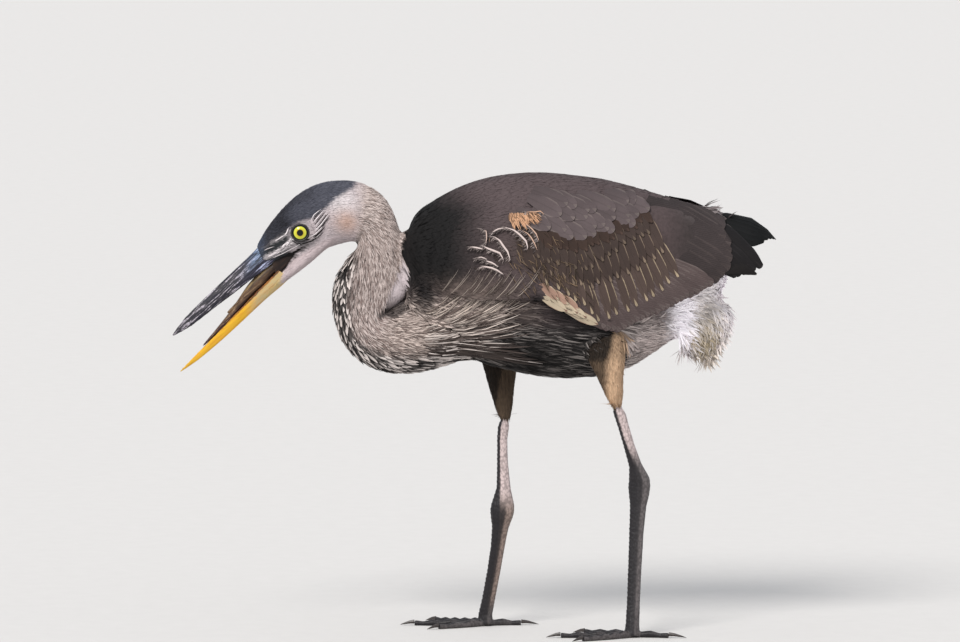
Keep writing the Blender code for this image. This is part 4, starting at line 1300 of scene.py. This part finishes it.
def make_eye(name, side):
    """A ball a little flattened, standing out of the head."""
    ball = primitive(bpy.ops.mesh.primitive_uv_sphere_add, name, segments=48, ring_count=24,
                     radius=EYEBALL * MM, location=(EYE.x, side * EYE.y, EYE.z),
                     rotation=(math.pi / 2, 0, 0))
    return scaled(ball, (1, 1, 0.84))


def make_lid(name, side):
    """The dark bare rim round an eye."""
    out, ring, rim = LID
    lid = primitive(bpy.ops.mesh.primitive_torus_add, name, location=(EYE.x, side * out * MM, EYE.z),
                    rotation=(math.pi / 2, 0, 0), major_segments=64, minor_segments=10,
                    major_radius=ring * MM, minor_radius=rim * MM)
    return scaled(lid, (1.04, 1.0, 1.0))


def draw_in_top(leg):
    """Narrows the top of the bare leg, so that it rises inside the thigh's feathers."""
    points = coordinates(leg)
    top = points[:, 2].max()
    near = ramp(points[:, 2], top - 16 * MM, top - 3 * MM)[:, None]
    middle = points[points[:, 2] > top - 6 * MM].mean(axis=0)
    points[:, :2] += (middle[:2] - points[:, :2]) * near * 0.45
    set_coordinates(leg, points)


def lower_knee(leg):
    """Sets the joint of a leg a little lower and swells it."""
    points = coordinates(leg)
    near = np.exp(-(((points[:, 2] / MM - 150) / 32) ** 2))
    middle = points[near > 0.9].mean(axis=0)
    points[:, 0] += (points[:, 0] - middle[0]) * near * 0.12
    points[:, 2] -= 9 * MM * near
    set_coordinates(leg, points)


def scute_leg(leg):
    """Raises overlapping scutes along the front of the shank and foot."""
    points, normals = coordinates(leg), vertex_normals(leg)
    front = np.clip(-normals[:, 0] * 1.4 - 0.2, 0, 1) * (points[:, 2] > 12 * MM)
    phase = (points[:, 2] / (5.2 * MM)) % 1.0
    points = points + normals * (0.55 * phase**1.5 * front)[:, None] * MM
    points[:, 2] = np.maximum(points[:, 2], 0)
    set_coordinates(leg, points)


def paint_leg(leg, side):
    """Black in front, grey behind, pinkish over the knee; the right leg is tan all down its back."""
    z = coordinates(leg)[:, 2] / MM
    ahead = -vertex_normals(leg)[:, 0]
    low, pink = (LEG_GREY, ramp(z, 192, 230)) if side == LEFT else (LEG_TAN, ramp(z, 132, 168))
    front = ramp(ahead + 0.3 - 0.75 * pink, -0.15, 0.4 - 0.35 * pink)
    pale = mix(mix(low, LEG_PINK, pink), LEG_GREY * 0.7, 1 - ramp(z, 14, 40))
    paint_vertices(leg, "Tint", mix(pale, LEG_BLACK, front))


# ---------------------------------------------------------------- materials


class Value:
    """A number or a colour in a node tree, with sums that add Math nodes."""

    def __init__(self, tree, socket):
        self.tree, self.socket = tree, socket

    def __add__(self, other):
        return self.tree.math("ADD", self, other)

    def __sub__(self, other):
        return self.tree.math("SUBTRACT", self, other)

    def __rsub__(self, other):
        return self.tree.math("SUBTRACT", other, self)

    def __mul__(self, other):
        return self.tree.math("MULTIPLY", self, other)


class Tree:
    """Adds and links the nodes of one material or group."""

    def __init__(self, tree):
        self.tree = tree

    def give(self, socket, value):
        """Links a value to a socket, or sets it there."""
        if isinstance(value, Value):
            self.tree.links.new(value.socket, socket)
        elif socket.type == "RGBA":
            socket.default_value = (*(float(share) for share in value), 1.0)
        else:
            socket.default_value = value

    def add(self, kind, given, out=0, **settings):
        """A node with its settings and inputs: the value that one of its outputs gives."""
        node = self.tree.nodes.new("ShaderNode" + kind)
        for name, value in settings.items():
            setattr(node, name, value)
        for key, value in given.items():
            self.give(node.inputs[key], value)
        return Value(self, node.outputs[out])

    def math(self, operation, first, second=0.0, clamp=False):
        return self.add("Math", {0: first, 1: second}, operation=operation, use_clamp=clamp)

    def step(self, value, low, high):
        """A smooth step from 0 at low to 1 at high."""
        return self.add("MapRange", {"Value": value, "From Min": low, "From Max": high},
                        interpolation_type="SMOOTHSTEP")

    def mix(self, share, first, second):
        return self.add("Mix", {0: share, 6: first, 7: second}, 2, data_type="RGBA")

    def place(self, **changes):
        """Object coordinates, changed by one Mapping node after another."""
        here = self.add("TexCoord", {}, "Object")
        for title, value in changes.items():
            here = self.add("Mapping", {"Vector": here, title: value})
        return here

    def noise(self, scale, detail=3.0, roughness=0.55, place=None):
        given = {"Vector": place or self.place(), "Scale": scale, "Detail": detail}
        return self.add("TexNoise", {**given, "Roughness": roughness}, "Fac")

    def split(self, vector):
        """The three parts of a vector."""
        node = self.tree.nodes.new("ShaderNodeSeparateXYZ")
        self.give(node.inputs[0], vector)
        return [Value(self, socket) for socket in node.outputs]

    def painted(self, name="Tint"):
        """A colour stored on the piece."""
        return self.add("Attribute", {}, "Color", attribute_name=name)

    def use(self, group, given):
        """A group's colour and height, with its inputs given."""
        colour = self.add("Group", given, "Colour", node_tree=group)
        return colour, Value(self, colour.socket.node.outputs["Height"])


def effect(name, colours, amounts, look):
    """A node group made by a look, from colours and amounts to a colour and a height."""
    group = bpy.data.node_groups.new(name, "ShaderNodeTree")
    sockets = [("INPUT", title, "Color") for title in colours]
    sockets += [("INPUT", title, "Float") for title in amounts]
    for way, title, kind in [*sockets, ("OUTPUT", "Colour", "Color"), ("OUTPUT", "Height", "Float")]:
        group.interface.new_socket(name=title, in_out=way, socket_type="NodeSocket" + kind)
    tree = Tree(group)
    given = group.nodes.new("NodeGroupInput").outputs
    out = group.nodes.new("NodeGroupOutput").inputs
    looks = look(tree, {title: Value(tree, given[title]) for title in colours + amounts})
    for socket, value in zip(out, looks):
        tree.give(socket, value)
    return group


def finish_of(name, roughness, specular, look, *more, bump=(0, 0)):
    """A material made by a look: its colour, and its height with the bump's strength and distance."""
    material = bpy.data.materials.new(name)
    material.use_nodes = True
    shader = material.node_tree.nodes["Principled BSDF"].inputs
    shader["Roughness"].default_value = roughness
    shader["Specular IOR Level"].default_value = specular
    tree = Tree(material.node_tree)
    colour, height = look(tree, *more)
    tree.give(shader["Base Color"], colour)
    if height:
        strength, distance = bump
        rough = tree.add("Bump", {"Strength": strength, "Distance": distance, "Height": height})
        tree.give(shader["Normal"], rough)
    return material


def mottled(tree, colour, darker, scale, amount):
    """A colour made darker by a share, and uneven by broad mottling."""
    shade = (1.0 - darker) * ((tree.noise(scale) - 0.5) * amount + 1.0)
    return tree.add("VectorMath", {0: colour, "Scale": shade}, operation="SCALE")


def barbs_look(tree, given):
    """Fine slanting barbs, a shaft, mottling and a trim for a feather that has a vane map."""
    across, along, _ = tree.split(tree.add("UVMap", {}, uv_map="Vane"))
    off = tree.math("ABSOLUTE", across * 2.0 - 1.0)
    ragged = tree.noise(420.0)
    barbs = tree.math("SINE", along * 210.0 - off * 30.0 + ragged * 9.0) * 0.5 + 0.5
    shaft = 1.0 - tree.step(off, 0.03, 0.09)
    late = tree.math("POWER", along, 4.0) * 0.34
    tip = along * 5.0 - 3.42 - off * 2.9
    edge = tree.math("MAXIMUM", off + late, tip) + ragged * 0.12 - given["Edge start"]
    edge = tree.math("MULTIPLY", edge, 8.0, clamp=True)
    colour = tree.mix(edge, given["Colour"], given["Edge"])
    colour = mottled(tree, colour, barbs * given["Barbs"], 60.0, given["Mottle"])
    return tree.mix(shaft * 0.18, colour, (0.02, 0.017, 0.015)), barbs * 0.4 + shaft


def down_look(tree, given):
    """Streaks along a small feather and mottling over the coat."""
    across = tree.split(tree.add("UVMap", {}, uv_map="Vane"))[0]
    streak = tree.math("SINE", across * 26.0 + tree.noise(300.0) * 8.0) * 0.5 + 0.5
    return mottled(tree, given["Colour"], streak * given["Streak"], 70.0, given["Mottle"]), streak


def horn_look(tree, given):
    """Long fine scratches and rough chips along a bill; the pale streaks are partly real wear and partly
    painted highlights.
    """
    long_way = tree.place(Rotation=(0, math.atan2(0.66, 0.75), 0), Scale=(45, 620, 620))
    streaks = tree.noise(1.0, 4.0, 0.6, long_way)
    chips = tree.noise(480.0, 4.0, 0.7)
    worn_and_highlit = tree.step(streaks, 0.52, 0.61) * (tree.step(chips, 0.4, 0.6) * 0.7 + 0.3) * given["Wear"]
    sunk = tree.step(streaks, 0.49, 0.41) * given["Wear"]
    deep = tree.mix(sunk, given["Colour"], given["Deep"])
    return tree.mix(worn_and_highlit, deep, given["Pale"]), streaks + chips * 0.6


def skin_look(tree):
    """The down under the coat: its markings, darker and mottled."""
    ragged = tree.noise(260.0, 5.0)
    return tree.mix(ragged * 0.8, tree.painted(), (0.02, 0.018, 0.017)), ragged


def vane_look(tree, group):
    """Vaned feathers with a paler or a darker trim."""
    return tree.use(group, {"Colour": tree.painted(), "Edge": tree.painted("Trim"),
                            "Edge start": 0.9, "Barbs": 0.22, "Mottle": 0.4})


def plumage_look(tree, group):
    """Small soft feathers."""
    return tree.use(group, {"Colour": tree.painted(), "Streak": 0.12, "Mottle": 0.25})


def along_bill(tree):
    """How far along the bill a point is, from 0 at its tip to 1 at its foot."""
    x = tree.split(tree.place())[0]
    return tree.add("MapRange", {"Value": x, "From Min": -0.345, "From Max": -0.24})


def across_bill(tree):
    """How far a point lies above the line of the jaws, in metres from a line through the origin."""
    x, _, z = tree.split(tree.place())
    return z - x


def upper_bill_look(tree, grain):
    """Blue-black horn with long pale scratches that are partly painted highlights, pale blue at its
    foot.
    """
    here, high = along_bill(tree), across_bill(tree)
    foot = tree.step(here, 0.62, 0.98)
    middle = tree.step(high, 0.672, 0.68) * tree.step(high, 0.7, 0.692)
    base = tree.mix(foot, rgb(34, 32, 38), rgb(58, 56, 74))
    base = tree.mix(tree.step(here, 0.74, 0.94) * middle, base, rgb(92, 110, 136))
    # the pale streaks' colour also stands for painted highlights on the glossy horn
    pale = tree.mix(foot, rgb(186, 178, 188), rgb(176, 184, 212))
    return tree.use(grain, {"Colour": base, "Pale": pale, "Deep": rgb(16, 16, 30), "Wear": 0.9})


def lower_bill_look(tree, grain):
    """Yellow horn, orange in streaks, greener at the tip, paler at the foot, brown along the top."""
    here = along_bill(tree)
    base = tree.mix(tree.step(here, -0.05, 0.3), rgb(180, 152, 44), rgb(220, 172, 40))
    base = tree.mix(tree.step(here, 0.74, 0.94), base, rgb(184, 166, 122))
    high = across_bill(tree) + tree.noise(300.0) * 0.003
    base = tree.mix(tree.step(high, 0.6425, 0.644), base, rgb(56, 35, 33))
    return tree.use(grain, {"Colour": base, "Pale": rgb(226, 140, 60), "Deep": rgb(196, 130, 40),
                            "Wear": 0.5})


def mouth_look(tree, grain):
    """Wet brown lining: dark red next to the lower bill, tan above, with painted shade turning it black
    towards the corner.
    """
    high = across_bill(tree)
    base = tree.mix(tree.noise(120.0), rgb(64, 46, 36), rgb(104, 80, 58))
    base = tree.mix(tree.step(high, 0.651, 0.645), base, rgb(54, 33, 33))
    base = tree.mix(tree.step(high, 0.6565, 0.660), base, rgb(134, 114, 82))
    # painted shade: the lining goes near-black deep in the corner of the mouth
    corner = tree.step(tree.split(tree.place())[0], -0.250, -0.224)
    base = tree.mix(corner, base, rgb(26, 15, 12))
    pale = tree.mix(corner, rgb(156, 130, 100), rgb(64, 42, 32))
    return tree.use(grain, {"Colour": base, "Pale": pale, "Deep": rgb(26, 17, 15), "Wear": 0.6})


def leg_look(tree):
    """Small scales on bare skin."""
    given = {"Vector": tree.place(Scale=(1, 1, 0.7)), "Scale": 420.0}
    cells = tree.add("TexVoronoi", given, "Distance")
    base = tree.mix(tree.noise(140.0, 4.0) * 0.4, tree.painted(), rgb(44, 40, 41))
    return tree.mix(tree.step(cells, 0.35, 0.75) * 0.4, base, rgb(18, 16, 17)), 1.0 - cells


def grained_look(tree, colour):
    """One colour with a fine grain."""
    grain = tree.noise(500.0, 4.0)
    return tree.mix(grain, colour * 0.7, colour * 1.3), grain


def eye_look(tree):
    """A yellow iris with fine rays, a black pupil and a black outer ring."""
    centred = {"Vector": tree.place(), "Location": (-EYE.x / MM, 0, -EYE.z / MM)}
    centred = tree.add("Mapping", {**centred, "Scale": (1 / MM, 0, 1 / MM)})
    radius = tree.add("VectorMath", {0: centred}, "Value", operation="LENGTH")
    inner = tree.mix(tree.step(radius, 3.4, 6.4), rgb(192, 166, 44), rgb(200, 204, 68))
    iris = tree.mix(tree.noise(900.0) * 0.4, inner, rgb(158, 152, 28))
    rim = tree.mix(tree.step(radius, 6.9, 7.5), iris, rgb(10, 9, 9))
    return tree.mix(tree.step(radius, 3.5, 4.0), rgb(6, 4, 4), rim), None


def floor_look(tree):
    """Pale card."""
    return tree.mix(tree.noise(40.0), rgb(196, 194, 192), rgb(202, 200, 198)), None


# ---------------------------------------------------------------- putting it together


def dress(obj, material, slot, *nodes):
    """Gives a piece its material, hangs it on the root body, and hides the CAD nodes it stands for."""
    obj.data.materials.clear()
    obj.data.materials.append(material)
    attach(obj, "root")
    if nodes:
        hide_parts(*nodes)


def make_body(rng):
    """The skin, its coat, the wings and the tail."""
    skin, owner, outside = make_skin()
    ground = Ground(skin, owner)
    paint_vertices(skin, "Tint", (ground.dark + ground.light) / 2)
    down = finish_of("down", 0.95, 0.1, skin_look, bump=(0.6, 0.0008))
    dress(skin, down, "feather_brown", *FLESH)
    group = effect("feather_down", ["Colour"], ["Streak", "Mottle"], down_look)
    soft = finish_of("soft_plumage", 0.8, 0.25, plumage_look, group, bump=(0.3, 0.0002))
    grow_coat(ground, rng, soft)
    for make, slot in ((breast_plumes, "feather_buff"), (face_streaks, "feather_white"),
                       (ruffled_patch, "feather_white"), (loose_barbs, "feather_buff")):
        dress(make(ground, outside, rng), soft, slot)
    group = effect("feather_barbs", ["Colour", "Edge"], ["Edge start", "Barbs", "Mottle"], barbs_look)
    fold_wings(ground, rng, finish_of("wing_plumage", 0.72, 0.12, vane_look, group, bump=(0.25, 0.0003)))


def make_head_parts():
    """Bill, mouth and eyes."""
    grain = effect("horn_wear_and_highlights", ["Colour", "Pale", "Deep"], ["Wear"], horn_look)
    dark = finish_of("dark_horn", 0.42, 0.3, upper_bill_look, grain, bump=(0.5, 0.0005))
    yellow = finish_of("yellow_horn", 0.42, 0.3, lower_bill_look, grain, bump=(0.35, 0.0004))
    mouth = finish_of("mouth_lining", 0.42, 0.25, mouth_look, grain, bump=(0.5, 0.0006))
    dress(smooth_copy("upper_bill", ["bill_upper"], 0.5, 3), dark, "horn_dark", "bill_upper")
    dress(smooth_copy("lower_bill", ["bill_lower"], 0.5, 3), yellow, "horn_yellow", "bill_lower")
    tongue = smooth_copy("tongue_flesh", ["tongue"], 0.5, 2)
    swell(tongue, 0.7)
    dress(tongue, mouth, "tongue", "tongue")
    dress(make_gape_web(), mouth, "tongue")
    dress(make_mouth_floor(), mouth, "tongue")
    eye = finish_of("eye", 0.2, 0.1, eye_look)
    shader = eye.node_tree.nodes["Principled BSDF"].inputs
    shader["Coat Weight"].default_value = 0.5
    shader["Coat Roughness"].default_value = 0.02
    lid = finish_of("lid_skin", 0.5, 0.5, grained_look, rgb(24, 22, 23), bump=(0.3, 0.0003))
    for side, word in SIDES:
        dress(make_eye(f"eyeball_{word}", side), eye, "eye", f"eye_{word}")
        dress(make_lid(f"lid_{word}", side), lid, "feather_slate")


def make_legs():
    """Scaled legs and horny claws."""
    scales = finish_of("leg_scales", 0.5, 0.3, leg_look, bump=(0.6, 0.0006))
    horn = finish_of("claw_horn", 0.4, 0.5, grained_look, rgb(52, 46, 44), bump=(0.3, 0.0003))
    for side, word in SIDES:
        nodes = [f"shank_{word}", f"tarsus_{word}", f"foot_{word}"]
        leg = smooth_copy(f"leg_{word}", nodes, 0.9, 4)
        draw_in_top(leg)
        if side == RIGHT:
            lower_knee(leg)
        scute_leg(leg)
        paint_leg(leg, side)
        dress(leg, scales, "leg_scale", *nodes)
        claws = [f"claw_{word}_{toe}" for toe in ("middle", "outer", "inner", "hind")]
        dress(smooth_copy(f"claws_{word}", claws, 0.4, 2), horn, "claw", *claws)


def placed(name, data, ways):
    """A lamp or a camera turned along the ways."""
    made = bpy.data.objects.new(name, data)
    made.rotation_euler = Vector(ways).to_track_quat("Z", "Y").to_euler()
    bpy.context.scene.collection.objects.link(made)
    return made


def make_stage():
    """A plain pale floor, a soft light from above and a pale sky."""
    floor = primitive(bpy.ops.mesh.primitive_circle_add, "floor", vertices=96, radius=60,
                      fill_type="NGON", location=(0, 0, 0))
    floor.data.materials.append(finish_of("floor_card", 0.9, 0.5, floor_look))

    world = bpy.data.worlds.new("studio")
    bpy.context.scene.world = world
    world.use_nodes = True
    sky = world.node_tree.nodes["Background"]
    sky.inputs["Color"].default_value = (0.92, 0.95, 1.0, 1.0)
    sky.inputs["Strength"].default_value = 0.8

    lamp = bpy.data.lights.new("soft_sun", "SUN")
    lamp.energy = 3.2
    lamp.angle = math.radians(25)
    lamp.color = (1.0, 0.97, 0.93)
    placed("soft_sun", lamp, (-0.35, -0.75, 0.75))


CAMERA_AIM = Vector((5.75, 0, 359.7)) * MM
CAMERA_RISE = math.radians(5)
CAMERA_GAP = 9.0
LENS = 293.5


def set_camera():
    """A long lens level with the bird's side, a little above it."""
    bpy.context.scene.view_settings.view_transform = "Standard"
    lens = bpy.data.cameras.new("camera")
    lens.sensor_width = 36
    lens.lens = LENS
    lens.clip_end = 200
    away = Vector((0, -math.cos(CAMERA_RISE), math.sin(CAMERA_RISE)))
    camera = placed("camera", lens, away)
    camera.location = CAMERA_AIM + away * CAMERA_GAP
    bpy.context.scene.camera = camera


make_body(np.random.default_rng(SEED))
make_head_parts()
make_legs()
make_stage()
set_camera()
